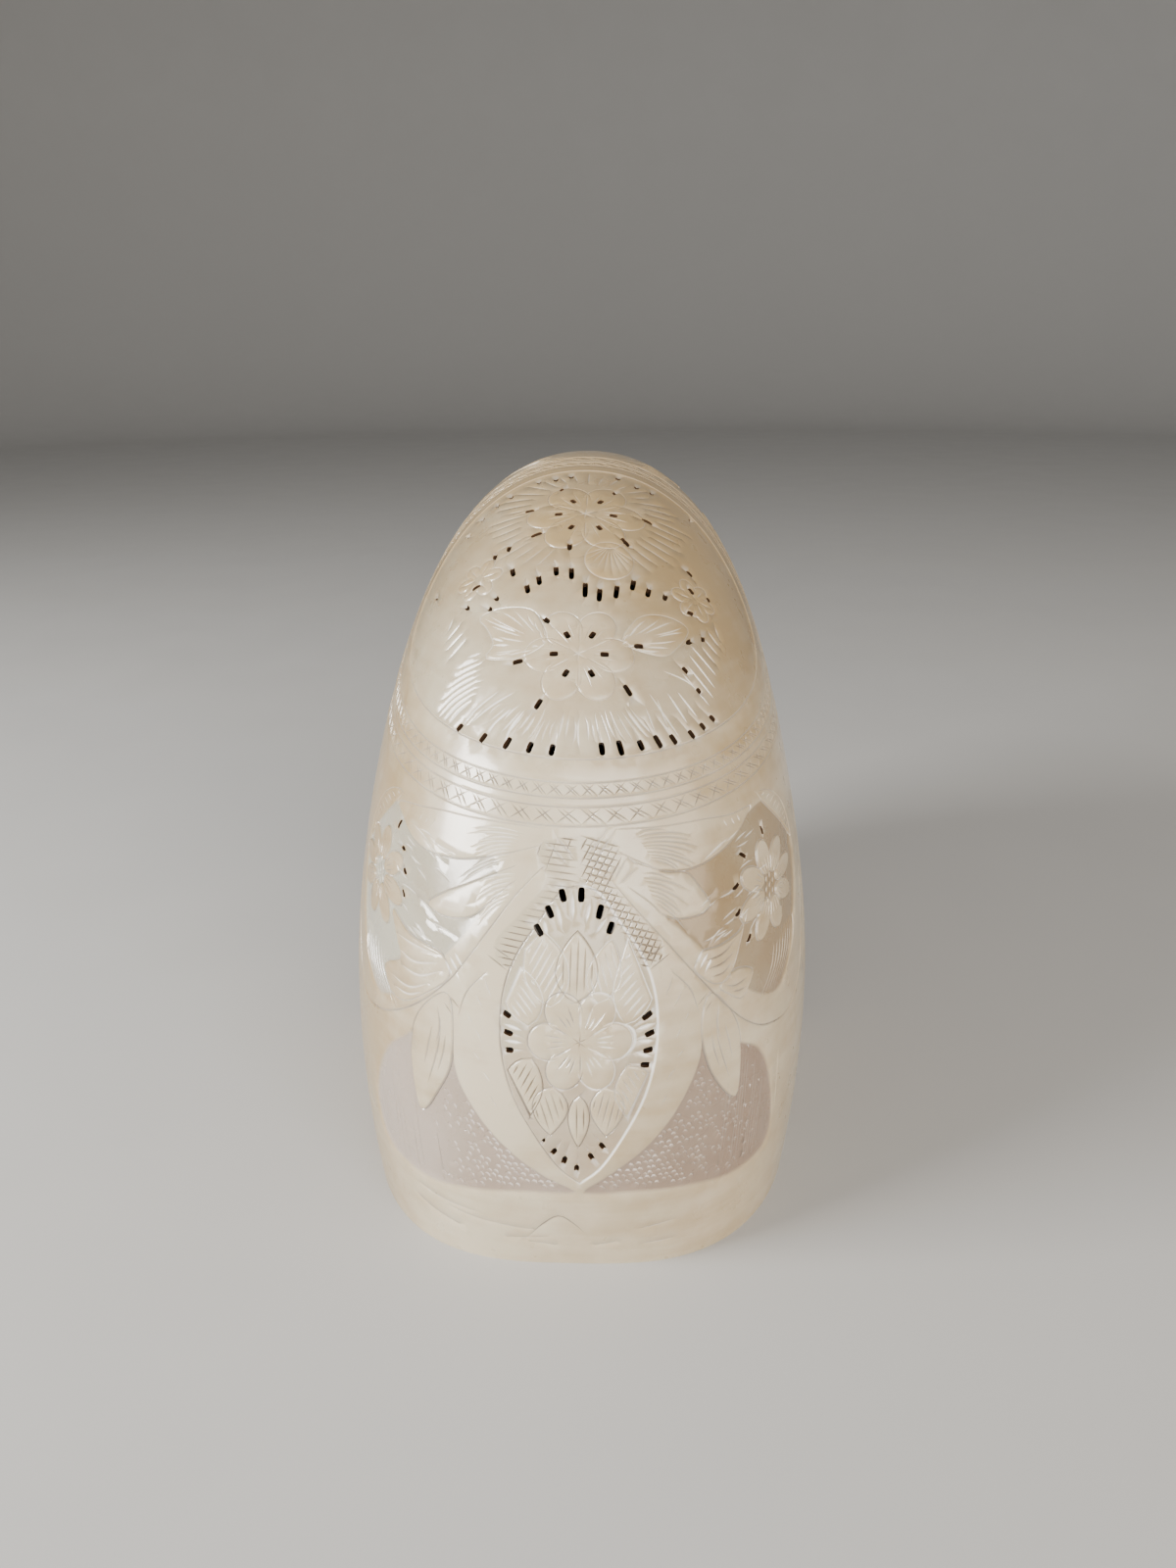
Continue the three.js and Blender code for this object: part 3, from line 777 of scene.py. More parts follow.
def carve_medallion(carver, depth):
    """The almond with its flower, leaves and rows of slots."""
    right = smooth_line(ALMOND, 0.8)
    outline = np.concatenate([right, handed(right[1:-1][::-1], -1)])
    carver.shape(outline, -depth, pearl=0.45, ramp=0.35)
    # The right outline gets a painted glint, the left one dirt with painted shade.
    carver.groove(right, width=1.7, depth=1.3, taper=0.01, shine=1.0)
    carver.groove(handed(right, -1), width=1.4, depth=1.2, taper=0.01, dirt=0.5)
    for base, tip, width, bend, degrees, pitch, dirt in [
        ((-4.2, 45.4), (-7, 57), 6.6, -0.6, 60, 0.95, 0.1),
        ((-7.6, 42.4), (-10.8, 51.6), 5.8, -0.7, -52, 0.95, 0.1),
        ((-0.4, 46), (-0.2, 56.2), 6.2, 0, 88, 1.05, 0.4),
        ((2.8, 46), (4.8, 55), 5.0, 0, 106, 1.0, 0.1),
        ((7, 42.6), (7.2, 54.9), 6.4, -1.2, 46, 1.15, 0),
        ((-7.2, 37.6), (-9, 26.6), 6.2, -0.8, 60, 1.0, 0.5),
        ((-4, 33.4), (-4.6, 25.4), 5.6, -0.3, 106, 1.05, 0.4),
        ((7.4, 36.4), (8.4, 26.8), 6.2, 0.8, 122, 1.0, 0.2),
        ((4, 33.4), (4.2, 25.2), 5.4, 0.3, 76, 1.0, 0.3),
        ((0, 32), (-0.2, 23.4), 3.4, 0, 90, 1.1, 0.4),
    ]:
        blade = leaf(base, tip, width, bend)
        blade = blade[edge_distance(blade, outline) > 0.4]
        outlined(carver, blade, dirt=dirt, shine=0.8 - dirt)
        inside = shrunk(blade, 0.35)
        hatch(carver, inside, degrees, pitch, width=1.5, depth=1.3, dirt=dirt, shine=1 - 2 * dirt)
    flower(carver, (0.2, 40.2), 6, 4.9, (3.1, 2.8), 0.4, 1.1)
    strokes(carver, [[(6.1, 43), (8.2, 41.7), (8.4, 39.3), (6.5, 37.4)]], width=2.0, shine=1.0)
    for across, up, degrees, long, wide in [
        (-2.4, 61.1, 104, 1.9, 1.2), (0.3, 61.2, 88, 2.1, 1.2), (-4.3, 58.8, 114, 1.9, 1.2),
        (3, 58.8, 76, 2.1, 1.2), (-5.9, 56.2, 120, 1.9, 1.2), (4.6, 56.5, 70, 1.8, 1.2),
        (-10.9, 43.8, 152, 1.3, 1.1), (-10.8, 41.1, 168, 1.4, 1.1), (-10.7, 38.5, 186, 1.2, 1.1),
        (10.4, 43.5, 30, 1.7, 1.1),
        (10.9, 40.8, 14, 1.5, 1.1), (10.7, 38.3, 4, 1.5, 1.1), (10.3, 36.1, -12, 1.4, 1.1),
        (-4.2, 22.6, 236, 1.2, 0.95), (-2.5, 21.1, 254, 1.4, 1.0), (-0.5, 19.7, 265, 1.1, 0.95),
        (1.9, 21.8, 296, 1.2, 0.95), (3.7, 23.6, 302, 1.2, 0.95), (-5.8, 24.4, 234, 0.6, 0.6),
    ]:
        # Scoops on the right get a stronger painted glint.
        scoop(carver, (across, up), degrees, long, 2.0, wide, 1.0 if across > 4 else 0.7)
    # Cuts beside the slots, whitened as painted glints.
    for base, tip in [
        ((-0.9, 57.4), (-1, 61.8)), ((-2.4, 56.4), (-3.4, 60.2)), ((0.9, 57), (1.7, 60.6)),
        ((2.2, 55.6), (4, 58)), ((-4.6, 55.4), (-5.2, 57.8)), ((8.4, 41.6), (11.6, 42.3)),
        ((8.6, 40), (11.7, 39.6)), ((8.2, 38.4), (11.4, 37.2)), ((-8.4, 41.6), (-11.6, 42.4)),
        ((-8.4, 39.8), (-11.7, 39.9)),
    ]:
        carver.cut(base, tip, width=2.4, depth=1.5, taper=0.8, shine=1.0)
    for hand in (1, -1):
        strokes(carver, [[(19.2, 42), (17.4, 46.2), (13.6, 50)]], hand, width=1.3, dirt=0.4)
        strokes(carver, [
            [(13.8, 33), (15.4, 34.8)], [(15, 39), (16.2, 41)], [(13, 29), (14.2, 31)],
            [(14.6, 44), (16, 46.2)], [(15.4, 36), (16.8, 37.4)], [(13.2, 45.8), (14.4, 48.8)],
            [(16.6, 41.4), (17.4, 43)],
        ], hand, width=1.1, dirt=0.2)


def carve_lattice(carver, depth):
    """Crossed lines between the medallion and the stems."""
    upper = [(0, 69.6), (5.6, 68.6), (6.2, 65.8), (5, 63), (9.2, 58), (12.4, 54.6), (12.6, 51.4)]
    lower = [(12.6, 51.4), (9.6, 50.4), (7.2, 54), (4, 58.2), (1.6, 61), (0, 61.6)]
    head = smooth_line(upper, 1.0)
    inner = smooth_line(lower, 1.0)
    right = np.concatenate([head[:-1], inner])
    left = handed(right, -1)
    carver.shape(np.concatenate([right[:-1], left[::-1][:-1]]), -depth, pearl=0.3)
    hatch(carver, left, -7, 0.95, width=1.1, dirt=0.6)
    hatch(carver, left[:14], 70, 1.9, width=1.0, dirt=0.5)
    hatch(carver, right, -16, 0.95, width=1.2, dirt=0.9)
    hatch(carver, right, 62, 0.95, width=1.2, dirt=0.9)
    strokes(carver, [
        [(4.2, 63.4), (6.1, 65.9)], [(4.9, 62.9), (6.9, 66.4)], [(5.7, 62.5), (8.3, 64.7)],
        [(6.9, 66.4), (8.4, 65.2)], [(1, 66.4), (4.4, 71)], [(2.2, 66), (5.4, 70.6)],
        [(-4.6, 68.6), (-1.6, 65.2)], [(-3.4, 69.4), (-0.6, 66)],
    ], width=1.5, dirt=0.2)


def carve_leaves(carver, depth):
    """Pearl ground of the sides, and on it the big leaves and the daisies."""
    random = np.random.default_rng(SEED + 1)
    for hand in (1, -1):
        ground = smooth_line(SIDE_GROUND[hand], 0.9, closed=True)
        carver.shape(ground, -depth, pearl=0.9, ramp=0.5)
        for _ in range(26):
            start = handed((16 + 16 * random.uniform(), 50 + 18 * random.uniform()), hand)
            end = start + handed(ray(24 + random.uniform(-14, 14)) * random.uniform(3, 6), hand)
            if edge_distance(np.array([start, end]), ground).min() > 0.5:
                carver.cut(start, end, random.uniform(-0.5, 0.5), width=1.5)
        for points in (UPPER_LEAF[hand], LOWER_LEAF[hand]):
            raised(carver, points, True, width=1.2, dirt=0.35)
        # Lines on the right side get dirt with painted shade, those on the left none.
        dirt = 0.35 if hand > 0 else 0
        for count in range(10):
            start = handed((8 + 0.3 * count, 69.6 - 0.42 * count), hand)
            reach = ray(4 - 3.4 * count) * random.uniform(5, 10)
            carver.cut(start, start + handed(reach, hand), 0.5 * hand, width=1.3, dirt=dirt)
        for count in range(8):
            start = handed((9 + 0.3 * count, 64 - 0.6 * count), hand)
            reach = ray(-14 - 4 * count) * random.uniform(4, 8)
            carver.cut(start, start + handed(reach, hand), 0.4 * hand, width=1.3, dirt=dirt)
        strokes(carver, [
            [(23.4, 71.3), (24.4, 70)], [(25.2, 71.6), (26, 70.3)], [(26.6, 72), (27.4, 70.8)],
        ], hand)
        daisy = np.array(DAISY[hand])
        for count in range(8):
            degrees = 45 * count + 22.5
            outline = ring(daisy + ray(degrees) * 6, 2.2, 3.7, math.radians(degrees), 18)
            outlined(carver, outline, dirt=0.3)
            for side in (-11, 0, 11):
                vein = ray(degrees + side)
                carver.cut(daisy + vein * 3, daisy + vein * 6, width=1.3, dirt=0.4)
        for row in (-1.2, 0, 1.2):
            for up in (-1.9, 0, 1.9):
                seed = daisy + (row, up + 0.5 * row)
                carver.cut(seed - (0, 0.7), seed + (0, 0.7), width=1.6)
        feather = leaf(handed((32.6, 75.6), hand), handed((48, 65.4), hand), 4.2, 2.4 * hand)
        outlined(carver, feather, dirt=0.3)
        hatch(carver, shrunk(feather, 0.4), 90 - 52 * hand, 1.5, width=1.3)


def carve_sides(carver):
    """Stems, curled leaves, pendant leaves and the cuts on the flanks."""
    for hand in (1, -1):
        carver.groove(smooth_line(STEM[hand], 0.9), width=1.7, depth=1.3, taper=0.2, dirt=0.45)
        strokes(carver, [
            [(20.6, 51), (18.9, 48.6)], [(21.5, 50.2), (19.9, 47.8)], [(19.7, 51.8), (18, 49.4)],
        ], hand, width=2, depth=1.3, shine=0.9)
        strokes(carver, [
            [(13, 53.5), (9.8, 51.7)], [(14, 52.3), (10.4, 50.1)], [(20.8, 44.9), (18.8, 43.3)],
            [(21.9, 43.6), (20.2, 41.9)],
        ], hand, dirt=0.5)
        for across, up, degrees in DAISY_SLOTS[hand]:
            scoop(carver, (across, up), degrees, 1.4, 1.0, 0.8)
        for lobe in CURLED_LEAF[hand]:
            raised(carver, lobe, width=1.2, dirt=0.3)
        raised(carver, PENDANT_LEAF[hand], width=1.2, dirt=0.4)
        strokes(carver, [
            [(22.6, 41), (23.6, 36), (26.6, 28.8)], [(21.8, 38.6), (22.6, 35.4), (24, 32)],
            [(24.6, 39), (25.8, 35.6), (27, 32)], [(23.2, 42.6), (23, 39.4), (24, 36.4)],
        ], hand, width=1.5, depth=1.2, dirt=0.4)
        for count in range(7):
            out = 57.2 + 1.6 * count
            line = [(out - 4, 34 - 2 * count), (out - 0.4, 43), (out, 55), (out - 1.6, 66), (out - 6, 76)]
            carver.groove(smooth_line(handed(line, hand), 1.2), width=1.6, dirt=0.3)
        for count in range(8):
            out = 47.6 - 1.35 * count
            line = [(out - 4.4, 38.6), (out - 0.6, 42.4), (out + 0.4, 48.6 - 0.3 * count)]
            carver.groove(smooth_line(handed(line, hand), 1.0), width=1.4, dirt=0.3)
    strokes(carver, [
        [(26.6, 51.6), (23.6, 50), (19.8, 49.8)], [(26.6, 50), (24, 48.6), (20.4, 48.4)],
        [(26, 48.4), (24, 47), (21.4, 47)], [(24.6, 44.8), (27, 44), (29.8, 44.4)],
        [(26, 43.4), (28, 42.8), (29.6, 43)],
    ], width=1.8, depth=1.3, dirt=0.5)
    strokes(carver, [
        [(-33.3, 51), (-28.5, 50.6), (-23, 50.5)], [(-32.8, 48.7), (-28.5, 47.9), (-22.7, 49.3)],
        [(-31.9, 46.2), (-27.3, 46.1), (-22.4, 48.1)], [(-35.3, 43.4), (-30.1, 43.3), (-25, 45.5)],
        [(-34.4, 41.8), (-30.4, 42), (-26.4, 43.8)],
    ], width=1.8, depth=1.2)
    carver.shape(ring((42, 27.4), 1.7), 0.0)
    carver.shape(leaf((41.6, 28), (41.8, 10), 4.0, belly=0.45), 0.0)
    carver.cut((41.4, 25.6), (41.8, 14), dirt=0.4)


def carve_bands(carver, depth):
    """Lattice rows and a rail round the cap's panel and its smooth band."""
    carver.shape(panel_line(9.6), -depth, ramp=0.4)
    carver.shape(panel_line(6.9), 0.0, ramp=0.5)
    carver.shape(panel_line(5.6), -depth, ramp=0.4)
    carver.shape(panel_line(3.4), 0.0, ramp=0.9)
    spacing = 0.25
    style = {"width": 1.1, "taper": 0.3, "dirt": 0.5}
    for low, high, pitch in ((3.5, 5.5, 2.3), (7, 9.5, 3.3)):
        near = panel_line(low, spacing)
        far = panel_line(high, spacing)
        count = int(len(near) * spacing / pitch)
        for step in range(count):
            for lead in (0, 0.24):
                start = (step + lead) / count
                end = (step + 0.9 + lead) / count % 1
                carver.cut(near[int(start * len(near))], far[int(end * len(far))], **style)
                if lead == 0:
                    carver.cut(near[int(end * len(near))], far[int(start * len(far))], **style)
    for offset in (0.0, 3.4, 5.6, 6.9, 9.6):
        carver.groove(closed_line(panel_line(offset)), width=1.4, depth=1.2, taper=0.001, dirt=0.35)


def carve_cap(carver, depth):
    """The cap's panel: two flowers, leaves, feathers and many slots."""
    carver.shape(panel_line(-0.1), -depth, pearl=0.25, ramp=0.35)
    random = np.random.default_rng(SEED + 2)
    low = np.array([-0.6, 96.8])
    top = np.array([-0.4, 126.7])
    leaf_left = raised(carver, [
        (-5.6, 99), (-6.6, 103), (-8.6, 105.4), (-13.6, 106.3), (-17, 105.3), (-15.5, 102.9), (-14.1, 99.6),
        (-15.2, 97.2), (-9.6, 96.6),
    ], width=1.1, depth=0.7, shine=0.3)
    leaf_right = raised(carver, [
        (6, 99), (7.4, 103), (10, 105), (14, 105.4), (17, 104), (15, 100), (12, 97.6),
    ], width=0.9, depth=0.5, shine=0.15)
    for outline, heart in ((leaf_left, (-5.4, 98)), (leaf_right, (5, 98))):
        for point in shrunk(outline, 0.8)[::3]:
            start = np.array(heart) + (point - heart) * random.uniform(0.35, 0.55)
            carver.cut(start, point, random.uniform(-0.3, 0.3), width=1.2)
    for degrees in range(-134, -58, 3):
        spoke = ray(degrees) * (1.5, 1.0)
        start = low + spoke * random.uniform(9, 11)
        end = low + spoke * random.uniform(13, 15.2)
        carver.cut(start, end, random.uniform(-0.4, 0.4), width=random.uniform(1.0, 1.7))
    strokes(carver, [
        [(-9.8, 91), (-14, 88.8), (-17.7, 86.1)], [(-10.4, 88.4), (-13.2, 86), (-15.2, 83.6)],
        [(-8.3, 88), (-10.4, 85.4), (-11.5, 82.7)], [(-12.4, 91.4), (-16, 89), (-19.2, 86.2)],
        [(-12.1, 99.7), (-14.4, 100.7)], [(-11.1, 98.9), (-14.2, 99.4)], [(-10.3, 101.1), (-14.3, 103.5)],
    ], width=1.6, depth=1.2, shine=0.9)
    strokes(carver, [
        [(11.2, 90.4), (13.2, 85.4)], [(14.7, 91.9), (18.5, 87.9)], [(9.4, 88.8), (11.2, 84.3)],
        [(12.2, 95.1), (16, 94.2), (19.1, 92.7)], [(17, 99.1), (22.3, 94.1)], [(9.8, 91.2), (15.2, 84.1)],
        [(16.6, 97), (22, 92)], [(17.4, 101), (22.8, 96.6)], [(15.6, 95.4), (21, 90.4)],
        [(13, 91.4), (16.6, 86.6)],
    ], width=1.2, shine=0.6)
    for step, (reach, drop) in enumerate([
        (3, 0.3), (4, 0.9), (5, 1.5), (5.6, 1.9), (6.6, 2.8), (7.6, 4), (7, 4), (5.6, 3.8), (4.4, 3.5),
    ]):
        base = np.array([-16 - 0.18 * step, 98.4 - 1.05 * step])
        plume = [base, base - (reach * 0.55, drop * 0.4), base - (reach, drop)]
        strokes(carver, [plume], width=1.8, depth=1.3, shine=0.9)
    # The strokes on the left get a stronger painted glint.
    for hand in (1, -1):
        strokes(carver, [
            [(19.6, 101.6), (22.8, 99)], [(20, 103.6), (23.6, 101)], [(22.8, 107.8), (24, 104.9)],
            [(21, 105.6), (24, 103)],
        ], hand, width=1.5, shine=0.35 if hand > 0 else 0.8)
    for centre, reach in ((low, 5.0), (top, 5.9)):
        flower(carver, centre, 6, reach, (reach * 0.66, reach * 0.58), 0.1, 0.6)
        for degrees in range(0, 360, 60):
            carver.slot(centre + ray(degrees) * reach * 0.75, math.radians(degrees), 1.3, 1.05)
    for bloom in ((-18.1, 114.4), (18.5, 111.2)):
        for count in range(6):
            outline = ring(bloom + ray(60 * count) * 2.7, 1.5, 1.9, math.radians(60 * count), 14)
            carver.shape(outline, 0.0)
            carver.groove(np.roll(outline, 5, 0)[:11], depth=0.5, taper=0.25, shine=0.15)
            carver.cut(bloom + ray(60 * count) * 0.8, bloom + ray(60 * count) * 3.4, depth=0.6, shine=0.2)
    raised(carver, ring((3.6, 115.2), 4.2, 3.9), width=0.9, depth=0.5, shine=0.15)
    for degrees in range(200, 350, 15):
        carver.cut((3.6, 118.4), (3.6, 117.4) + ray(degrees) * 4.6, width=0.9, depth=0.6, shine=0.2)
    for count in range(40):
        degrees = 9 * count
        start = top + ray(degrees) * random.uniform(10, 11.5)
        if not 250 < degrees < 300:
            end = start + ray(degrees) * (1.5, 1.0) * random.uniform(2.5, 5)
            carver.cut(start, end, width=1.2, depth=0.7, shine=0.2)
    carve_cap_slots(carver)


def carve_cap_slots(carver):
    """Slots round the cap's lower edge, among its ornaments, and in the two rows over them."""
    for across, up, long in [
        (-19.5, 85.9, 1.4), (-15, 83.9, 1.6), (-11, 82.9, 1.9), (-7.5, 82.2, 1.7), (-4.2, 81.8, 1.7),
        (3, 82, 1.9), (5.7, 82.2, 2.3), (8.8, 82.7, 1.6), (11.5, 83.4, 2.1), (14.1, 83.9, 1.7),
        (17.4, 85, 1.5), (19.6, 86.6, 1.3), (21.7, 88.3, 1.3),
    ]:
        scoop(carver, (across, up), math.degrees(math.atan2(up - 100, across)), long, 3.0, 1.1)
    for across, up, degrees, long in [
        (-9.9, 95.9, 184, 1.7), (-6.4, 88.8, 236, 1.7), (6.7, 91.2, 306, 1.9), (8.4, 98.8, 12, 1.6),
        (-5.7, 102.9, 128, 1.4), (16.3, 96, 330, 1.2), (18.9, 92.8, 328, 1.0),
        (17.2, 101.7, 40, 1.5), (20, 103.4, 80, 1.2),
        (17.6, 107.8, 170, 1.1), (21.7, 113.5, 110, 1.0), (17.7, 117.6, 130, 1.3), (17.8, 113.1, 125, 1.3),
        (-14.2, 108.7, 120, 1.1), (-15.3, 106.8, 140, 1.0), (-19.9, 108.7, 130, 1.3), (-18.4, 112.6, 30, 1.5),
        (-29.1, 117, 110, 1.1), (-8.2, 121.9, 30, 1.9), (6, 120.2, 318, 1.8), (9.8, 127.5, 355, 1.9),
        (-9.9, 129.4, 10, 1.5), (-4.6, 135.3, 60, 1.2), (4.2, 134.5, 70, 1.2), (-2.7, 118.1, 90, 1.6),
        (-12.8, 119.9, 90, 1.6), (-15.3, 118.9, 95, 1.5),
    ]:
        scoop(carver, (across, up), degrees, long, 1.4, 1.0)
    for across, up, long in [
        (-11.7, 113.7, 2.2), (-9, 109.5, 2.1), (-7.2, 111, 2.2), (-4.6, 112.7, 2.2), (-2.2, 112.1, 2.7),
        (0, 108.7, 3.2), (2.2, 107.8, 2.8), (4.8, 108.7, 2.9), (7.4, 110.6, 2.5),
        (9.9, 109.6, 2.1), (12.8, 109.5, 1.5),
        (-22.5, 130.9, 1.4), (-19.7, 134.2, 1.5), (-16.7, 136.5, 1.5), (-14, 137.5, 1.6), (-9, 140, 1.4),
        (-6, 139.8, 1.6), (-3.4, 140.5, 1.5), (4.6, 141.1, 1.6), (7.9, 139.1, 1.4), (10.7, 138.9, 1.5),
        (18.9, 136.9, 1.4),
    ]:
        scoop(carver, (across, up), 90 - across * 1.2, long, 0.5, 1.05)


def carve_shell(sizes):
    """The whole drawing, from the lip up, and then the leaves and daisies behind the cap."""
    carver = Carver(sizes)
    depth = sizes.ground_depth / MM
    lattice = sizes.lattice_depth / MM
    carve_lower_ground(carver, depth)
    carve_lattice(carver, lattice)
    carve_medallion(carver, sizes.medallion_depth / MM)
    carve_bands(carver, lattice)
    carve_leaves(carver, depth)
    carve_sides(carver)
    carve_cap(carver, sizes.panel_depth / MM)
    carver.mirrored = True
    carve_leaves(carver, depth)
    return carver


# Sheets to meshes, with sheet sizes in millimetres

KEEP_INSIDE = 1
SAME_SPOT = 1e-5
GRID_MARGIN = 0.6
FRONT_LOW = (-62, -4)
FRONT_HIGH = (64, 178)
FRONT_HALF = 63
FINE_ROOM = 0.45
COARSE_ROOM = 0.8
LINING_STEP = 3.2
LINING_ROOM = 1.2


def triangulate(drawing, border):
    """Triangles of the drawing inside its border, which is drawn first."""
    coordinates = [Vector(point) for point in drawing.points]
    found = delaunay_2d_cdt(coordinates, drawing.edges, [], KEEP_INSIDE, SAME_SPOT, True)
    points = np.array([tuple(point) for point in found[0]])
    faces = np.array(found[2])
    origin = np.full(len(drawing.points), -1)
    for index, sources in enumerate(found[3]):
        for source in sources:
            origin[source] = index
    on_border = np.zeros(len(points), bool)
    on_border[origin[:len(border)]] = True
    doubtful = np.flatnonzero(on_border[faces].all(1))
    outside = doubtful[edge_distance(points[faces[doubtful]].mean(1), border) <= 0]
    faces = np.delete(faces, outside, 0)
    used, compact = np.unique(faces, return_inverse=True)
    renumber = np.full(len(points), -1)
    renumber[used] = np.arange(len(used))
    origin = np.where(origin >= 0, renumber[origin], -1)
    return points[used], compact.reshape(faces.shape), origin


def open_loop(faces):
    """The single loop of edges that have a face on one side only, in the faces' own direction."""
    edges = np.concatenate([faces[:, [0, 1]], faces[:, [1, 2]], faces[:, [2, 0]]])
    pairs = set(map(tuple, edges))
    following = {start: end for start, end in pairs if (end, start) not in pairs}
    first = next(iter(following))
    loop = [first]
    while following[loop[-1]] != first:
        loop.append(following[loop[-1]])
    if len(loop) != len(following):
        raise RuntimeError("the carved sheet has more than one edge loop")
    return np.array(loop)


def grid_points(border, step, low, high):
    """Points of a triangular grid that lie well inside the border."""
    across = np.arange(low[0], high[0], step)
    up = np.arange(low[1], high[1], step * math.sqrt(3) / 2)
    grid = np.array([(x + (row % 2) * step / 2, y) for row, y in enumerate(up) for x in across])
    return grid[edge_distance(grid, border) > step * GRID_MARGIN]


def clear_of(points, taken, room):
    """Points that have no taken point near them."""
    cells = set()
    for column, row in np.floor(np.asarray(taken) / room).astype(int):
        cells.update((column + aside, row + ahead) for aside in (-1, 0, 1) for ahead in (-1, 0, 1))
    keep = [tuple(cell) not in cells for cell in np.floor(points / room).astype(int)]
    return points[keep]


def ground_inner_rim(spiral, sheet):
    """Sheet points of the inner rim, moved along the wall to the ground where the outer rim lies on it."""
    rounds = 8
    near_ground = 0.02
    probe = 0.1
    flattest = 0.05
    longest_step = 1.5
    on_ground = spiral.surface(sheet)[:, 2] < near_ground
    moved = sheet.copy()
    for _ in range(rounds):
        height = spiral.inside(moved)[:, 2]
        ahead = spiral.inside(moved + np.array([0, probe]))[:, 2]
        slope = np.maximum((ahead - height) / probe, flattest)
        step = np.clip(height / slope, -longest_step, longest_step)
        moved[on_ground, 1] -= step[on_ground]
    return moved


def carved_sheet(sizes, border):
    """The outer sheet's flat points and faces, and the carver that holds its drawing."""
    carver = carve_shell(sizes)
    drawing = Drawing()
    drawing.add(border, closed=True)
    carver.draw(drawing)
    front = grid_points(border, sizes.fine_step / MM, FRONT_LOW, FRONT_HIGH)
    far = grid_points(border, sizes.coarse_step / MM, border.min(0), border.max(0))
    beside = np.abs(far[:, 0]) > FRONT_HALF
    far = far[beside | (far[:, 1] > FRONT_HIGH[1]) | (far[:, 1] < FRONT_LOW[1])]
    taken = np.array(drawing.points)
    drawing.points.extend(map(tuple, clear_of(front, taken, FINE_ROOM)))
    drawing.points.extend(map(tuple, clear_of(far, taken, COARSE_ROOM)))
    sheet, faces, _ = triangulate(drawing, border)
    return sheet, faces, carver


def build_carved_wall(spiral, sizes):
    """Mesh data of the carved wall: outer sheet, inner sheet and the edges between them."""
    border = spiral.border()
    sheet, faces, carver = carved_sheet(sizes, border)
    loop = open_loop(faces)
    height, looks = carver.carve(sheet)
    outer = spiral.surface(sheet) + spiral.frame_at(sheet)[2] * height[:, None]

    inner_border = ground_inner_rim(spiral, sheet[loop])
    drawing = Drawing()
    drawing.add(inner_border, closed=True)
    lining = grid_points(inner_border, LINING_STEP, border.min(0), border.max(0))
    drawing.points.extend(map(tuple, clear_of(lining, inner_border, LINING_ROOM)))
    inner_sheet, inner_faces, origin = triangulate(drawing, inner_border)
    inner = spiral.inside(inner_sheet)

    below = origin[:len(loop)] + len(outer)
    after = np.roll(np.arange(len(loop)), -1)
    walls = np.concatenate([
        np.stack([loop[after], loop, below], 1),
        np.stack([loop[after], below, below[after]], 1),
    ])
    faces = np.concatenate([faces, inner_faces[:, ::-1] + len(outer), walls])
    points = np.concatenate([outer, inner])
    points[:, 2] = np.maximum(points[:, 2], 0)
    for key, values in looks.items():
        looks[key] = np.concatenate([values, np.zeros(len(inner))])
    # The inner sheet is marked to get painted shade.
    looks["lining"] = np.repeat([0.0, 1.0], [len(outer), len(inner)])
    return points, faces, looks, carver.slots


def linked(name, data):
    """A new object at the origin of the scene."""
    obj = bpy.data.objects.new(name, data)
    bpy.context.scene.collection.objects.link(obj)
    return obj


def empty_object(name):
    return linked(name, bpy.data.meshes.new(name))


def new_object(name, points, faces, attributes=None):
    """An object from millimetre points."""
    mesh = bpy.data.meshes.new(name)
    mesh.from_pydata((np.asarray(points) * MM).tolist(), [], [tuple(face) for face in faces])
    for key, values in (attributes or {}).items():
        values = np.asarray(values, np.float32)
        kind, field = ("FLOAT_VECTOR", "vector") if values.ndim == 2 else ("FLOAT", "value")
        mesh.attributes.new(key, kind, "POINT").data.foreach_set(field, values.ravel())
    mesh.validate()
    return linked(name, mesh)


# Node trees

class Value:
    """A node's output that can be reckoned with like a number. Each step of that is a math node."""

    def __init__(self, net, socket):
        self.net = net
        self.socket = socket

    def __add__(self, other):
        return self.net.math("ADD", self, other)

    def __sub__(self, other):
        return self.net.math("SUBTRACT", self, other)

    def __rsub__(self, other):
        return self.net.math("SUBTRACT", other, self)

    def __mul__(self, other):
        return self.net.math("MULTIPLY", self, other)

    def __truediv__(self, other):
        return self.net.math("DIVIDE", self, other)

    def __rtruediv__(self, other):
        return self.net.math("DIVIDE", other, self)

    def __pow__(self, other):
        return self.net.math("POWER", self, other)


class Net:
    """Short calls for building a node tree in a script."""

    def __init__(self, tree):
        self.tree = tree

    def plug(self, socket, value):
        if isinstance(value, Value):
            self.tree.links.new(value.socket, socket)
        else:
            socket.default_value = value

    def node(self, kind, values, **settings):
        """A new node. Values go to its inputs by name or number, settings are the node's own."""
        node = self.tree.nodes.new(kind)
        for key, value in settings.items():
            setattr(node, key, value)
        for key, value in values.items():
            self.plug(node.inputs[key], value)
        return node

    def value(self, kind, values=None, output=0, **settings):
        """One output of a new node."""
        return Value(self, self.node(kind, values or {}, **settings).outputs[output])

    def math(self, operation, *values):
        return self.value("ShaderNodeMath", dict(enumerate(values)), operation=operation)


# Geometry Nodes

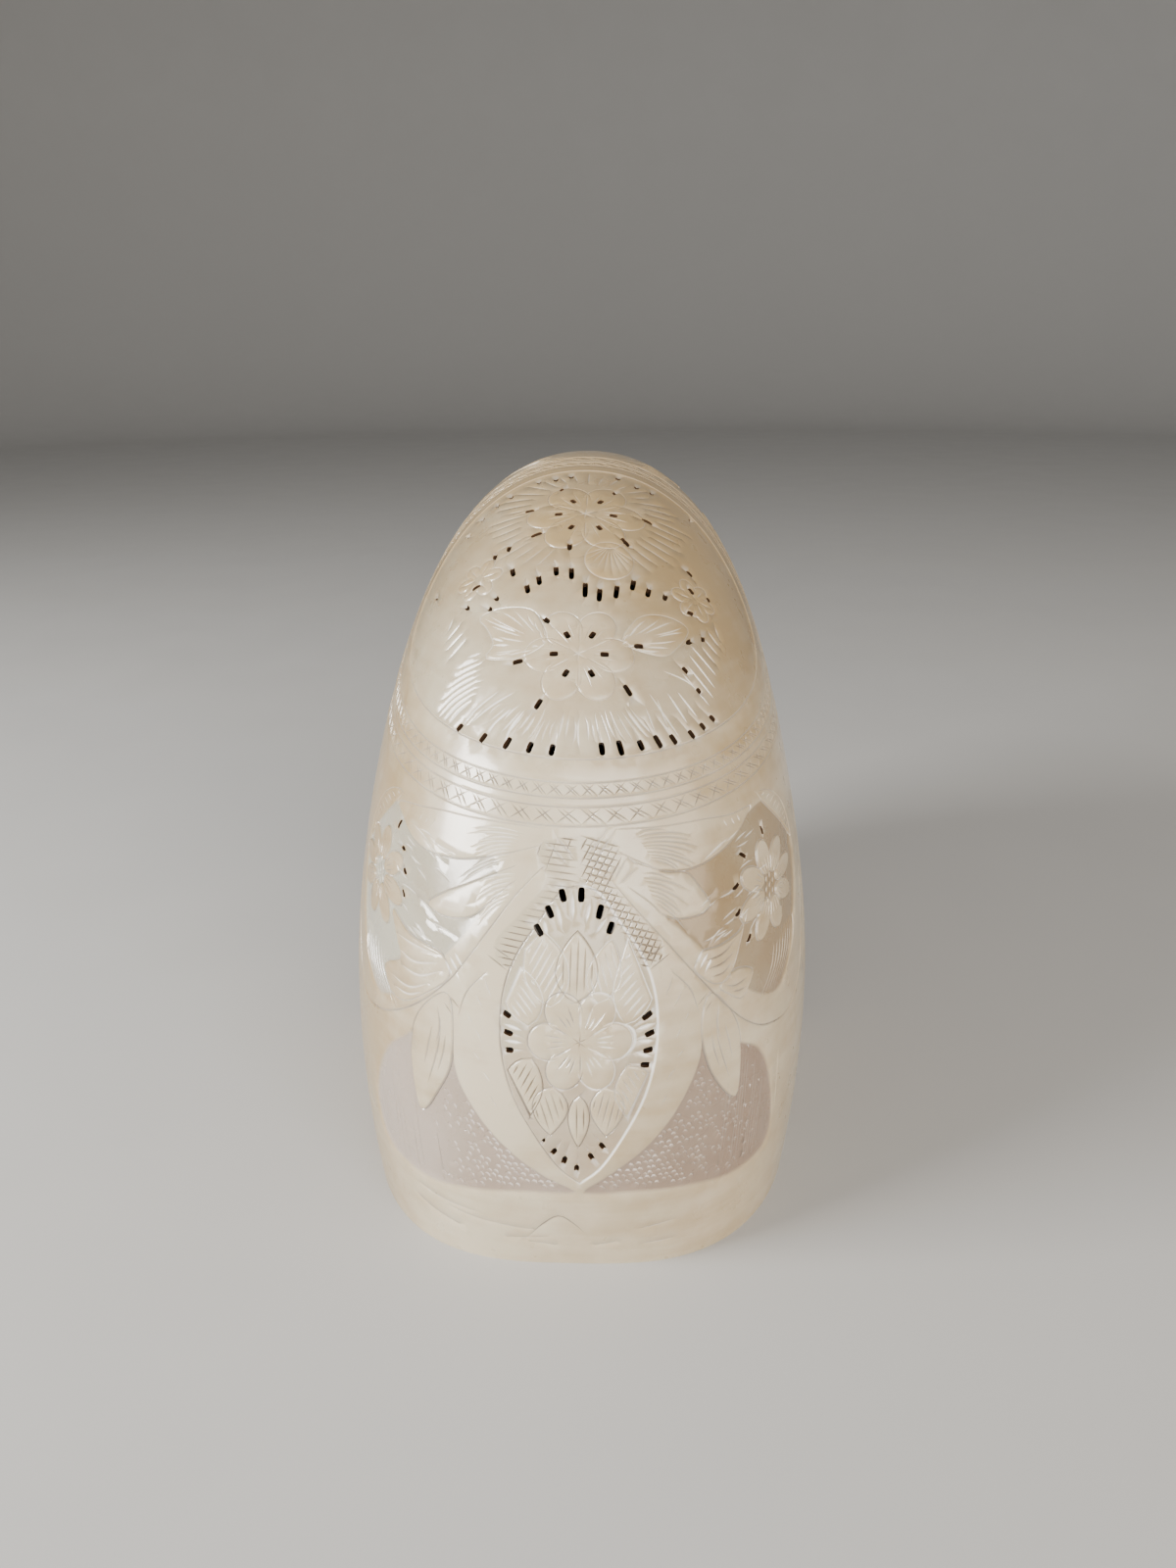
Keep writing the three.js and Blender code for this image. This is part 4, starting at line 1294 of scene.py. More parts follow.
class GeometryNet(Net):
    """A geometry node tree. Its inputs and outputs are named by kind, and its inputs are in parts."""

    def __init__(self, name, inputs, outputs):
        super().__init__(bpy.data.node_groups.new(name, "GeometryNodeTree"))
        for side, sockets in (("INPUT", inputs), ("OUTPUT", outputs)):
            for kind, labels in sockets.items():
                for label in labels:
                    self.tree.interface.new_socket(label, in_out=side, socket_type="NodeSocket" + kind)
        entry = self.tree.nodes.new("NodeGroupInput").outputs
        self.parts = {label: Value(self, entry[label]) for labels in inputs.values() for label in labels}
        self.exit = self.tree.nodes.new("NodeGroupOutput").inputs

    def pick(self, switch, no, yes):
        values = {"Switch": switch, "False": no, "True": yes}
        return self.value("GeometryNodeSwitch", values, input_type="FLOAT")

    def compare(self, operation, first, second):
        values = {0: first, 1: second}
        return self.value("FunctionNodeCompare", values, data_type="FLOAT", operation=operation)

    def combine(self, *values):
        return self.value("ShaderNodeCombineXYZ", dict(enumerate(values)))

    def vector(self, operation, first, second):
        return self.value("ShaderNodeVectorMath", {0: first, 1: second}, operation=operation)

    def geometry_of(self, label):
        return self.value("GeometryNodeObjectInfo", {"Object": self.parts[label]}, "Geometry")

    def instances(self, points, instance, turn, scale):
        """Copies of one geometry on points, made real."""
        copies = self.value("GeometryNodeInstanceOnPoints", {
            "Points": points, "Instance": instance, "Rotation": turn, "Scale": scale,
        })
        return self.value("GeometryNodeRealizeInstances", {"Geometry": copies})

    def finish(self, geometry):
        """Hands out the geometry, painted with the tree's material."""
        painted = {"Geometry": geometry, "Material": self.parts["Material"]}
        self.plug(self.exit["Geometry"], self.value("GeometryNodeSetMaterial", painted))
        return self.tree


MADE = {"Geometry": ("Geometry",)}
FORM_SOCKETS = (
    "Belly radius", "Growth", "Half width", "Widest at", "Belly power", "Flank hollow",
    "Flank hollow power", "Umbilicus radius", "Umbilicus share", "Belly share",
)
BELLY_SHARE = 0.62
SIDE_STEP = 0.004
ON_GROUND = (-9.0, -9.0, 0.0)
SAME_PLACE = 1e-6


def form_values(spiral):
    """Values of the form sockets, in their order."""
    form = spiral.form
    return (
        form.belly_radius, spiral.growth, form.half_width, form.widest_at, form.belly_power,
        form.flank_hollow, form.flank_hollow_power, form.umbilicus_radius, form.umbilicus_share, BELLY_SHARE,
    )


def section_tree():
    """Node group: the plain whorl's section at an angle along the spiral, for a side from -1 to 1."""
    floats = {"Float": ("Angle", "Side") + FORM_SOCKETS}
    net = GeometryNet("Whorl section", floats, {"Float": ("Across", "Height")})
    part = net.parts
    radius = part["Belly radius"] * net.math("EXPONENT", part["Growth"] * part["Angle"] * -1.0)
    half = part["Half width"] * radius
    widest = part["Widest at"] * radius
    off = net.math("ABSOLUTE", part["Side"])
    on_flank = net.compare("GREATER_THAN", off, part["Belly share"])

    belly = net.math("MINIMUM", off / part["Belly share"], 1.0)
    turn = belly ** (part["Belly power"] / 2.0) * (math.pi / 2)
    sine = net.math("MAXIMUM", net.math("SINE", turn), 0.0)
    belly_across = half * sine ** (2.0 / part["Belly power"])
    belly_height = widest + (radius - widest) * net.math("COSINE", turn)

    down = (off - part["Belly share"]) / (1.0 - part["Belly share"])
    hole = net.math("MINIMUM", part["Umbilicus radius"], part["Umbilicus share"] * radius)
    flank_height = widest + (hole - widest) * down
    fall = net.math("MAXIMUM", 1.0 - flank_height / widest, 0.0)
    flank_across = half * (1.0 - part["Flank hollow"] * fall ** part["Flank hollow power"])

    across = net.math("SIGN", part["Side"]) * net.pick(on_flank, belly_across, flank_across)
    net.plug(net.exit["Across"], across)
    net.plug(net.exit["Height"], net.pick(on_flank, belly_height, flank_height))
    return net.tree


def whorl_tree():
    """Node group: a closed wall that follows the spiral between two angles.

    Rows of a grid run along the spiral, and its columns run over the outside and back along the inside.
    """
    net = GeometryNet("Whorl wall", {
        "Float": FORM_SOCKETS + ("Start", "End", "Wall", "Thinnest wall"),
        "Int": ("Steps", "Sides"), "Vector": ("Axis",), "Material": ("Material",),
    }, MADE)
    part = net.parts
    sides = part["Sides"]
    last_row = part["Steps"] + 2.0
    last_column = sides * 2.0 + 2.0
    grid = net.value("GeometryNodeMeshGrid", {
        "Size X": 1.0, "Size Y": 1.0, "Vertices X": last_row + 1.0, "Vertices Y": last_column + 1.0,
    })
    place = {0: net.value("GeometryNodeInputPosition")}
    row = net.math("ROUND", (net.value("ShaderNodeSeparateXYZ", place, 0) + 0.5) * last_row)
    column = net.math("ROUND", (net.value("ShaderNodeSeparateXYZ", place, 1) + 0.5) * last_column)

    way = net.value("ShaderNodeClamp", {"Value": (row - 1.0) / part["Steps"]})
    turn = part["Start"] + way * (part["End"] - part["Start"])
    first_row = net.compare("LESS_THAN", row, 0.5)
    at_end = net.math("MAXIMUM", first_row, net.compare("GREATER_EQUAL", row, last_row))
    inner = net.compare("GREATER_THAN", column, sides + 0.5)
    closing = net.compare("GREATER_EQUAL", column, last_column)
    outer_side = column / sides * 2.0 - 1.0
    inner_side = 1.0 - (column - sides - 1.0) / sides * 2.0
    side = net.pick(closing, net.pick(inner, outer_side, inner_side), -1.0)
    shrink = net.math("EXPONENT", part["Growth"] * turn * -0.5)
    thick = net.math("MAXIMUM", part["Thinnest wall"], part["Wall"] * shrink)
    full = thick * (inner - net.math("MINIMUM", closing, inner))
    depth = net.pick(at_end, full, thick * 0.5)

    sections = []
    shared_tree = section_tree()
    shape = {label: part[label] for label in FORM_SOCKETS}
    for shift in (-SIDE_STEP, 0.0, SIDE_STEP):
        moved = net.math("MAXIMUM", net.math("MINIMUM", side + shift, 1.0), -1.0)
        group = net.node("GeometryNodeGroup", {**shape, "Angle": turn, "Side": moved}, node_tree=shared_tree)
        sections.append({label: Value(net, group.outputs[label]) for label in ("Across", "Height")})
    before, here, after = sections
    rise = after["Height"] - before["Height"]
    reach = after["Across"] - before["Across"]
    size = net.math("SQRT", rise * rise + reach * reach)
    across = here["Across"] - depth * (rise / size * -1.0)
    height = here["Height"] - depth * (reach / size)

    back = height * net.math("COSINE", turn) * -1.0
    local = net.combine(across, back, height * net.math("SINE", turn))
    grounded = net.vector("MAXIMUM", net.vector("ADD", local, part["Axis"]), ON_GROUND)
    moved = net.value("GeometryNodeSetPosition", {"Geometry": grid, "Position": grounded})
    joined = net.value("GeometryNodeMergeByDistance", {"Geometry": moved, "Distance": SAME_PLACE})
    smooth = net.value("GeometryNodeSetShadeSmooth", {"Geometry": joined})
    return net.finish(net.value("GeometryNodeFlipFaces", {"Mesh": smooth}))


def pierce_tree():
    """Node group: a slot through the wall at each place, turned and sized by the place's own attributes."""
    net = GeometryNet("Pierced slots", {
        "Geometry": ("Geometry",), "Object": ("Places", "Cutter"),
        "Float": ("Depth",), "Material": ("Material",),
    }, MADE)

    def named(label, kind):
        return net.value("GeometryNodeInputNamedAttribute", {"Name": label}, data_type=kind)

    turn = net.value("FunctionNodeAxesToRotation", {
        "Primary Axis": named("out", "FLOAT_VECTOR"), "Secondary Axis": named("way", "FLOAT_VECTOR"),
    }, primary_axis="Z", secondary_axis="X")
    scale = net.combine(named("long", "FLOAT"), named("wide", "FLOAT"), net.parts["Depth"])
    # The cutter marks the slots' walls for painted shade.
    cutter_marked_for_shade = net.value("GeometryNodeStoreNamedAttribute", {
        "Geometry": net.geometry_of("Cutter"), "Name": "slot_wall", "Value": 1.0,
    }, data_type="FLOAT", domain="FACE")
    cutters = net.instances(net.geometry_of("Places"), cutter_marked_for_shade, turn, scale)
    return net.finish(net.value("GeometryNodeMeshBoolean", {
        "Mesh 1": net.parts["Geometry"], "Mesh 2": cutters,
    }, operation="DIFFERENCE", solver="MANIFOLD"))


def repeat_tree():
    """Node group: copies of one dish, each turned about the axis and shrunk as the spiral shrinks."""
    net = GeometryNet("Septa along the spiral", {
        "Object": ("Dish",), "Int": ("Count",), "Float": ("Spacing", "Growth"),
        "Vector": ("Axis",), "Material": ("Material",),
    }, MADE)
    part = net.parts
    points = net.value("GeometryNodeMeshLine", {
        "Count": part["Count"], "Start Location": part["Axis"], "Offset": (0.0, 0.0, 0.0),
    })
    turn = net.value("GeometryNodeInputIndex") * part["Spacing"]
    shrink = net.math("EXPONENT", turn * part["Growth"] * -1.0)
    septa = net.instances(points, net.geometry_of("Dish"), net.combine(turn * -1.0, 0.0, 0.0), shrink)
    return net.finish(net.value("GeometryNodeSetShadeSmooth", {"Geometry": septa}))


def grow(name, obj, tree, values):
    """Runs a node tree on an object and returns the result as a plain mesh object."""
    modifier = obj.modifiers.new(tree.name, "NODES")
    modifier.node_group = tree
    for item in tree.interface.items_tree:
        if item.in_out == "INPUT" and item.name in values:
            modifier[item.identifier] = values[item.name]
    depsgraph = bpy.context.evaluated_depsgraph_get()
    mesh = bpy.data.meshes.new_from_object(obj.evaluated_get(depsgraph), depsgraph=depsgraph)
    bpy.data.objects.remove(obj)
    mesh.name = name
    if mesh.materials[0] is None:
        mesh.materials.pop(index=0)
    return linked(name, mesh)


# Materials

class Shader(Net):
    """A procedural material, with short calls for its nodes."""

    def __init__(self, name):
        self.material = bpy.data.materials.new(name)
        self.material.use_nodes = True
        super().__init__(self.material.node_tree)
        self.place = self.value("ShaderNodeTexCoord", output="Object")

    def axis(self, number):
        return self.value("ShaderNodeSeparateXYZ", {0: self.place}, number)

    def attribute(self, label):
        return self.value("ShaderNodeAttribute", output="Fac", attribute_name=label)

    def noise(self, scale, detail=3.0, stretch=(1, 1, 1)):
        mapping = self.value("ShaderNodeMapping", {"Vector": self.place, "Scale": stretch})
        return self.value("ShaderNodeTexNoise", {"Vector": mapping, "Scale": scale, "Detail": detail}, "Fac")

    def range(self, value, low, high, to_low=0.0, to_high=1.0):
        return self.value("ShaderNodeMapRange", {
            "Value": value, "From Min": low, "From Max": high, "To Min": to_low, "To Max": to_high,
        })

    def patches(self, scale, low, high):
        """Soft patches between a low and a high value."""
        return self.range(self.noise(scale), 0.3, 0.7, low, high)

    def mottle(self, scale, spread, stretch=(1, 1, 1)):
        """Finer and harder patches to both sides of nothing."""
        return self.range(self.noise(scale, 4.0, stretch), 0.35, 0.65, -spread, spread)

    def mix(self, amount, first, second):
        return self.value("ShaderNodeMix", {0: amount, 6: first, 7: second}, 2, data_type="RGBA")

    def bump(self, height, distance):
        return self.value("ShaderNodeBump", {"Strength": 1.0, "Distance": distance, "Height": height})

    def finish(self, values):
        """The material, with these values on its surface's sockets."""
        sockets = self.tree.nodes["Principled BSDF"].inputs
        for key, value in values.items():
            self.plug(sockets[key], value)
        return self.material


def pearl_colour(shader, colours):
    """Pearl that is pink below and green above, and darker to the right as painted shade, with soft clouds.
    """
    # Painted shade: towards the right the mix goes to the darker rose and olive pearls.
    right = shader.range(shader.axis(0), -0.03, 0.028) + shader.patches(55.0, -0.3, 0.3)
    low = shader.mix(right, colours.pearl, colours.pearl_rose_shaded)
    high = shader.mix(right, colours.pearl_green, colours.pearl_olive_shaded)
    return shader.mix(shader.range(shader.axis(2), 0.034, 0.042), low, high)


def cream_colour(shader, colours):
    """Mottled cream, with painted shade that makes it darker and warmer at its sides, high on the right and
    on top.
    """
    # Painted shade: the left edge, the right side, the upper right and the top are mixed towards the warm
    # cream.
    left = shader.range(shader.axis(0), -0.014, -0.033)
    right = shader.range(shader.axis(0), -0.02, 0.04, 0.0, 0.55)
    high = shader.range(shader.axis(2), 0.066, 0.074)
    high_right_shade = high * shader.range(shader.axis(0), 0.0, 0.03, 0.0, 0.35)
    top = shader.range(shader.axis(2), 0.083, 0.108, 0.0, 0.9)
    painted_shade = left + right + (high_right_shade + top)
    clouds = shader.mottle(38.0, 0.2)
    growth_lines = shader.mottle(45.0, 0.14, (1, 1, 9))
    grain = shader.mottle(260.0, 0.12)
    return shader.mix(painted_shade + (clouds + (growth_lines + grain)), colours.cream, colours.cream_patches_and_shade)


def carved_material(colours):
    """Cream porcelain layer over pearl, with fresh cuts whitened as painted glints, old dirt with painted
    shade in some engraved lines, and painted shade on the wall's inside and in the slots.
    """
    shader = Shader("carved shell")
    pearl = shader.attribute("pearl")
    base = shader.mix(pearl, cream_colour(shader, colours), pearl_colour(shader, colours))
    # Fresh cuts and painted glints whiten the strokes.
    glint_amount = shader.range(shader.attribute("bright"), 0.0, 0.7, 0.0, 0.95)
    lit = shader.mix(glint_amount, base, colours.cut_and_glint_white)
    # Old dirt and painted shade darken the engraved lines.
    groove_stain_and_shade = shader.range(shader.attribute("dirty"), 0.05, 0.5) * shader.patches(160.0, 0.5, 1.0)
    lined = shader.mix(groove_stain_and_shade, lit, colours.groove)
    # Painted shade over the inside of the wall.
    inside_shaded = shader.mix(shader.attribute("lining"), lined, colours.lining)
    polish = shader.math("MAXIMUM", glint_amount, pearl) * -0.07
    return shader.finish({
        # Painted shade on the slots' walls.
        "Base Color": shader.mix(shader.attribute("slot_wall"), inside_shaded, colours.slot),
        "Roughness": shader.patches(220.0, 0.26, 0.4) + polish,
        "IOR": 1.58,
        "Subsurface Weight": 0.12,
        "Subsurface Radius": (0.0016, 0.0011, 0.0007),
        "Subsurface Scale": 1.0,
        "Coat Weight": 0.8,
        "Coat Roughness": 0.16,
        "Coat IOR": 1.6,
        "Normal": shader.bump(shader.noise(700.0, 4.0), 0.00004),
    })


def pearl_material(name, colours):
    """Polished pearl with soft clouds of colour."""
    shader = Shader(name)
    return shader.finish({
        "Base Color": pearl_colour(shader, colours),
        "Roughness": shader.patches(140.0, 0.16, 0.3),
        "Subsurface Weight": 0.1,
        "Subsurface Radius": (0.004, 0.003, 0.002),
        "Subsurface Scale": 1.0,
        "Coat Weight": 0.4,
        "Coat Roughness": 0.1,
        "Thin Film Thickness": 420.0,
        "Thin Film IOR": 1.5,
        "Normal": shader.bump(shader.noise(500.0), 0.00002),
    })


def film_and_shade_material(colours):
    """Dark film that the animal left on the coil inside its living chamber, kept dark and dull as painted
    shade too.
    """
    shader = Shader("dark film")
    return shader.finish({
        "Base Color": shader.mix(shader.noise(150.0), colours.film, colours.slot),
        "Roughness": shader.patches(300.0, 0.75, 0.9),
        "Specular IOR Level": 0.1,
        "Normal": shader.bump(shader.noise(900.0), 0.00003),
    })


def callus_material(colours):
    shader = Shader("callus porcelain")
    return shader.finish({
        "Base Color": shader.mix(shader.noise(120.0), colours.cream, colours.cream_patches_and_shade),
        "Roughness": shader.patches(200.0, 0.2, 0.34),
        "Coat Weight": 0.3,
        "Normal": shader.bump(shader.noise(600.0), 0.00002),
    })


def chalk_material(colours):
    shader = Shader("siphuncle chalk")
    return shader.finish({
        "Base Color": shader.mix(shader.noise(300.0), colours.chalk, colours.cream_patches_and_shade),
        "Roughness": shader.patches(400.0, 0.7, 0.9),
        "Normal": shader.bump(shader.noise(1500.0), 0.00005),
    })


def floor_material(colours):
    shader = Shader("studio floor")
    shade = [channel * 0.97 for channel in colours.floor[:3]] + [1]
    return shader.finish({
        "Base Color": shader.mix(shader.noise(6.0), colours.floor, shade),
        "Roughness": shader.patches(30.0, 0.6, 0.75),
    })


# Shapes of rings

def ring_faces(first, second, count, flipped=False):
    """Quads between two rings of points, from the number of each ring's first point."""
    faces = []
    for step in range(count):
        after = (step + 1) % count
        low = first + after
        high = second + step
        ends = (high, low) if flipped else (low, high)
        faces.append((first + step, ends[0], second + after, ends[1]))
    return faces


def fan_faces(tip, first, count):
    """Triangles from one point to a ring of points."""
    return [(tip, first + step, first + (step + 1) % count) for step in range(count)]


def slot_cutter():
    """A prism of one metre each way with rounded corners, for scaling to each slot."""
    sides = 16
    turn = math.tau * (np.arange(sides) + 0.5) / sides
    outline = np.stack([np.cos(turn), np.sin(turn)], 1)
    outline = np.sign(outline) * np.sqrt(np.abs(outline)) / 2
    points = [(across, along, level) for level in (-0.5, 0.5) for across, along in outline]
    faces = ring_faces(0, sides, sides)
    faces += [tuple(range(sides))[::-1], tuple(range(sides, 2 * sides))]
    return new_object("slot cutter", np.array(points) / MM, faces)


SEPTUM_SIDE = 1.75
SEPTUM_SIDE_POINTS = 72
SEPTUM_GAP = 1.2
SEPTUM_RINGS = 10
SIPHUNCLE_HOLE = 2.0
SIPHUNCLE_SHARE = 0.6
BACK_EDGE = np.array([(0.25, 0.22), (0.14, 0.31), (0, 0.345), (-0.14, 0.31), (-0.25, 0.22)])


def septum_dish(spiral, sizes):
    """The newest septum about the axis: a dish with a hole, as two skins that are joined at both edges."""
    turn = sizes.first
    radius = spiral.radius(turn)
    side = np.linspace(-SEPTUM_SIDE, SEPTUM_SIDE, SEPTUM_SIDE_POINTS)
    girth = spiral.side_girth(turn, np.abs(side)) * np.sign(side)
    across, height = spiral.section(turn, girth)
    inset = 1 - SEPTUM_GAP / radius
    front = np.stack([across * inset, height * inset], 1)
    rim = np.concatenate([front, smooth_line(BACK_EDGE * radius, 2.0)])
    middle = np.array([0, SIPHUNCLE_SHARE * radius * math.exp(-spiral.growth * sizes.dish)])
    inner = SIPHUNCLE_HOLE / np.linalg.norm(rim - middle, axis=1)
    half = sizes.wall / MM / 2
    rings = SEPTUM_RINGS
    skins = []
    for skin in (-1, 1):
        for step in range(rings + 1):
            part = inner + (1 - inner) * step / rings
            spot = middle + (rim - middle) * part[:, None]
            bent = turn + sizes.dish * (1 - part**2) + skin * half / spot[:, 1]
            skins.append(np.stack([spot[:, 0], -spot[:, 1] * np.cos(bent), spot[:, 1] * np.sin(bent)], 1))
    count = len(rim)
    order = list(range(rings + 1)) + list(range(2 * rings + 1, rings, -1)) + [0]
    faces = []
    for first, second in zip(order[:-1], order[1:]):
        faces += ring_faces(first * count, second * count, count)
    return np.concatenate(skins), faces


CALLUS_RINGS = 14
CALLUS_SIDES = 96
CALLUS_CENTRE = 16.0
CALLUS_FLOOR = 12.9
CALLUS_LOWEST_EDGE = 14.0
CALLUS_BELOW_FLANK = 0.6
CALLUS_FIT = 0.08
CALLUS_HOLLOW = 1.5


def callus(spiral, hand):
    """A plug with a hollow face that follows the flank round the umbilicus."""
    rings = CALLUS_RINGS
    sides = CALLUS_SIDES
    radius = spiral.hole + CALLUS_FIT
    start = float(spiral.margin(np.array(1.0)))
    turns = start + math.tau * np.arange(sides) / sides
    flank = spiral.section(turns, spiral.side_girth(turns, 2))[0]
    rise = np.maximum(flank - CALLUS_BELOW_FLANK, CALLUS_LOWEST_EDGE) - CALLUS_CENTRE
    points = [spiral.place(hand * level, 0.0, 0.0)[None] for level in (CALLUS_CENTRE, CALLUS_FLOOR)]
    levels = [CALLUS_CENTRE + rise * (step / rings) ** CALLUS_HOLLOW for step in range(1, rings + 1)]
    for step, level in enumerate(levels + [np.full(sides, CALLUS_FLOOR)], 1):
        reach = np.full(sides, min(step / rings, 1) * radius)
        points.append(spiral.place(hand * level, reach, turns))
    faces = fan_faces(0, 2, sides)
    for step in range(rings):
        first = 2 + step * sides
        faces += ring_faces(first, first + sides, sides, flipped=True)
    faces += [(tip, second, first) for tip, first, second in fan_faces(1, 2 + rings * sides, sides)]
    if hand > 0:
        faces = [face[::-1] for face in faces]
    return np.concatenate(points), faces


FLOOR_SIDES = 96
FLOOR_CURVE_STEPS = 16


def studio_floor(stage):
    """A round floor that curves up into a wall all round."""
    curve = stage.floor_curve / MM
    flat = stage.floor_radius / MM
    sweep = np.linspace(0, math.pi / 2, FLOOR_CURVE_STEPS)
    profile = [(flat + curve * math.sin(turn), curve - curve * math.cos(turn)) for turn in sweep]
    profile.append((flat + curve, stage.wall_height / MM))
    points = [(0, 0, 0)]
    for reach, height in profile:
        points += [(*spot, height) for spot in ring((0, 0), reach, count=FLOOR_SIDES)]
    faces = fan_faces(0, 1, FLOOR_SIDES)
    for row in range(len(profile) - 1):
        first = 1 + row * FLOOR_SIDES
        faces += ring_faces(first, first + FLOOR_SIDES, FLOOR_SIDES, flipped=True)
    return new_object("floor", points, faces)


# Stage

# Each light's name, the setting of its power, its place and its side in metres, and its tint
LIGHTS = (
    ("window", "key_power", (-0.60, -0.26, 0.31), 0.32, (1.0, 0.985, 0.96)),
    ("front", "front_power", (0.32, -0.95, 0.5), 0.9, (1.0, 0.97, 0.93)),
    ("overhead", "top_power", (0.0, -0.1, 0.8), 0.7, (1.0, 0.97, 0.93)),
    ("warm fill", "fill_power", (0.6, -0.4, 0.25), 0.5, (1.0, 0.86, 0.7)),
)
LIT_PLACE = Vector((0, -0.02, 0.06))
ROOM_TINT = (1.0, 0.985, 0.96, 1)
SENSOR_WIDTH = 36
NEAREST = 0.01


def add_lights(stage):
    for name, power, place, side, tint in LIGHTS:
        light = bpy.data.lights.new(name, "AREA")
        light.size = side
        light.energy = getattr(stage, power)
        light.color = tint
        lamp = linked(name, light)
        lamp.location = place
        lamp.rotation_euler = (LIT_PLACE - Vector(place)).to_track_quat("-Z", "Y").to_euler()


def room_light(stage):
    world = bpy.data.worlds.new("studio")
    world.use_nodes = True
    background = world.node_tree.nodes["Background"].inputs
    background["Color"].default_value = ROOM_TINT
    background["Strength"].default_value = stage.world_strength
    return world


def add_camera(stage):
    yaw = stage.camera_yaw
    pitch = stage.camera_pitch
    roll = stage.camera_roll
    forward = Vector((math.sin(yaw) * math.cos(pitch), math.cos(yaw) * math.cos(pitch), -math.sin(pitch)))
    level = Vector((math.cos(yaw), -math.sin(yaw), 0))
    upright = level.cross(forward)
    right = level * math.cos(roll) + upright * math.sin(roll)
    up = upright * math.cos(roll) - level * math.sin(roll)
    lens = bpy.data.cameras.new("camera")
    lens.lens = stage.camera_lens
    lens.sensor_width = SENSOR_WIDTH
    lens.clip_start = NEAREST
    camera = linked("camera", lens)
    turn = Matrix((right, up, -forward)).transposed().to_4x4()
    camera.matrix_world = Matrix.Translation(Vector(stage.camera_place)) @ turn
    return camera


# Operators

SLOT_REACH = 0.006
WALL_CREASE = math.radians(38)
CALLUS_CREASE = math.radians(50)
COIL_STEPS = (150, 120)
CORE_STEPS = (240, 64)


def dress(piece, material_slot, *nodes):
    """Lets a piece ride in place of its CAD nodes."""
    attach(piece, "root")
    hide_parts(*nodes)


def soften(piece, crease):
    """Smooth shading, apart from edges sharper than the crease."""
    piece.data.shade_smooth()
    piece.data.set_sharp_from_angle(angle=crease)


class NAUTILUS_OT_carved_wall(bpy.types.Operator):
    """Builds the carved wall of the living chamber."""

    bl_idname = "nautilus.carved_wall"
    bl_label = "Carved wall"

    def execute(self, context):
        scene = context.scene
        spiral = Spiral(scene.nautilus_form)
        points, faces, looks, slots = build_carved_wall(spiral, scene.nautilus_carving)
        wall = new_object("carved wall sheet", points, faces, looks)
        centres, lean, long, wide = (np.array(column) for column in zip(*slots))
        across, along, out = spiral.frame_at(centres)
        way = across * np.cos(lean)[:, None] + along * np.sin(lean)[:, None]
        places = new_object("slot places", spiral.surface(centres), [], {
            "out": out, "way": way, "long": long * MM, "wide": wide * MM,
        })
        cutter = slot_cutter()
        piece = grow("carved_wall", wall, pierce_tree(), {
            "Places": places, "Cutter": cutter, "Depth": SLOT_REACH,
            "Material": carved_material(scene.nautilus_colours),
        })
        bpy.data.objects.remove(places)
        bpy.data.objects.remove(cutter)
        soften(piece, WALL_CREASE)
        dress(piece, "carved_porcelain_layer", "living_chamber_wall")
        return {"FINISHED"}


class NAUTILUS_OT_coil_walls(bpy.types.Operator):
    """Builds the outer and the inner coil's wall along the spiral."""

    bl_idname = "nautilus.coil_walls"
    bl_label = "Coil walls"

    def execute(self, context):
        scene = context.scene
        form = scene.nautilus_form
        spiral = Spiral(form)
        tree = whorl_tree()
        film = film_and_shade_material(scene.nautilus_colours)
        values = dict(zip(FORM_SOCKETS, form_values(spiral)))
        values.update({
            "Axis": spiral.axis_place(), "Thinnest wall": form.thinnest_wall,
            "Wall": form.lip_wall * math.sqrt(spiral.front_radius / spiral.lip_radius),
            "Material": pearl_material("polished nacre", scene.nautilus_colours),
        })
        for name, start, end, (steps, sides) in (
            ("outer_coil", form.chamber_end, form.coil_end, COIL_STEPS),
            ("inner_coil", form.coil_end, form.core_end, CORE_STEPS),
        ):
            values.update({"Start": start, "End": end, "Steps": steps, "Sides": sides})
            piece = grow(name, empty_object(name + " seed"), tree, values)
            piece.data.materials.append(film)
            # Faces inside the living chamber get the film, which also paints shade there.
            for face in piece.data.polygons:
                if face.center.y < form.film_depth and abs(face.center.x) < form.film_reach:
                    face.material_index = 1
            dress(piece, "polished_nacre", name + "_wall")
        return {"FINISHED"}


class NAUTILUS_OT_septa(bpy.types.Operator):
    """Builds the septa and finishes the siphuncle."""

    bl_idname = "nautilus.septa"
    bl_label = "Septa and siphuncle"

    def execute(self, context):
        scene = context.scene
        spiral = Spiral(scene.nautilus_form)
        sizes = scene.nautilus_septa
        dish = new_object("septum dish", *septum_dish(spiral, sizes))
        piece = grow("septa", empty_object("septa seed"), repeat_tree(), {
            "Dish": dish, "Count": sizes.count, "Spacing": sizes.spacing, "Growth": spiral.growth,
            "Axis": spiral.axis_place(), "Material": pearl_material("septum nacre", scene.nautilus_colours),
        })
        bpy.data.objects.remove(dish)
        dress(piece, "septum_nacre", *[f"septum_{index:02d}" for index in range(1, sizes.count + 1)])
        chalk = chalk_material(scene.nautilus_colours)
        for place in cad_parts["siphuncle"].material_slots:
            place.material = chalk
        return {"FINISHED"}


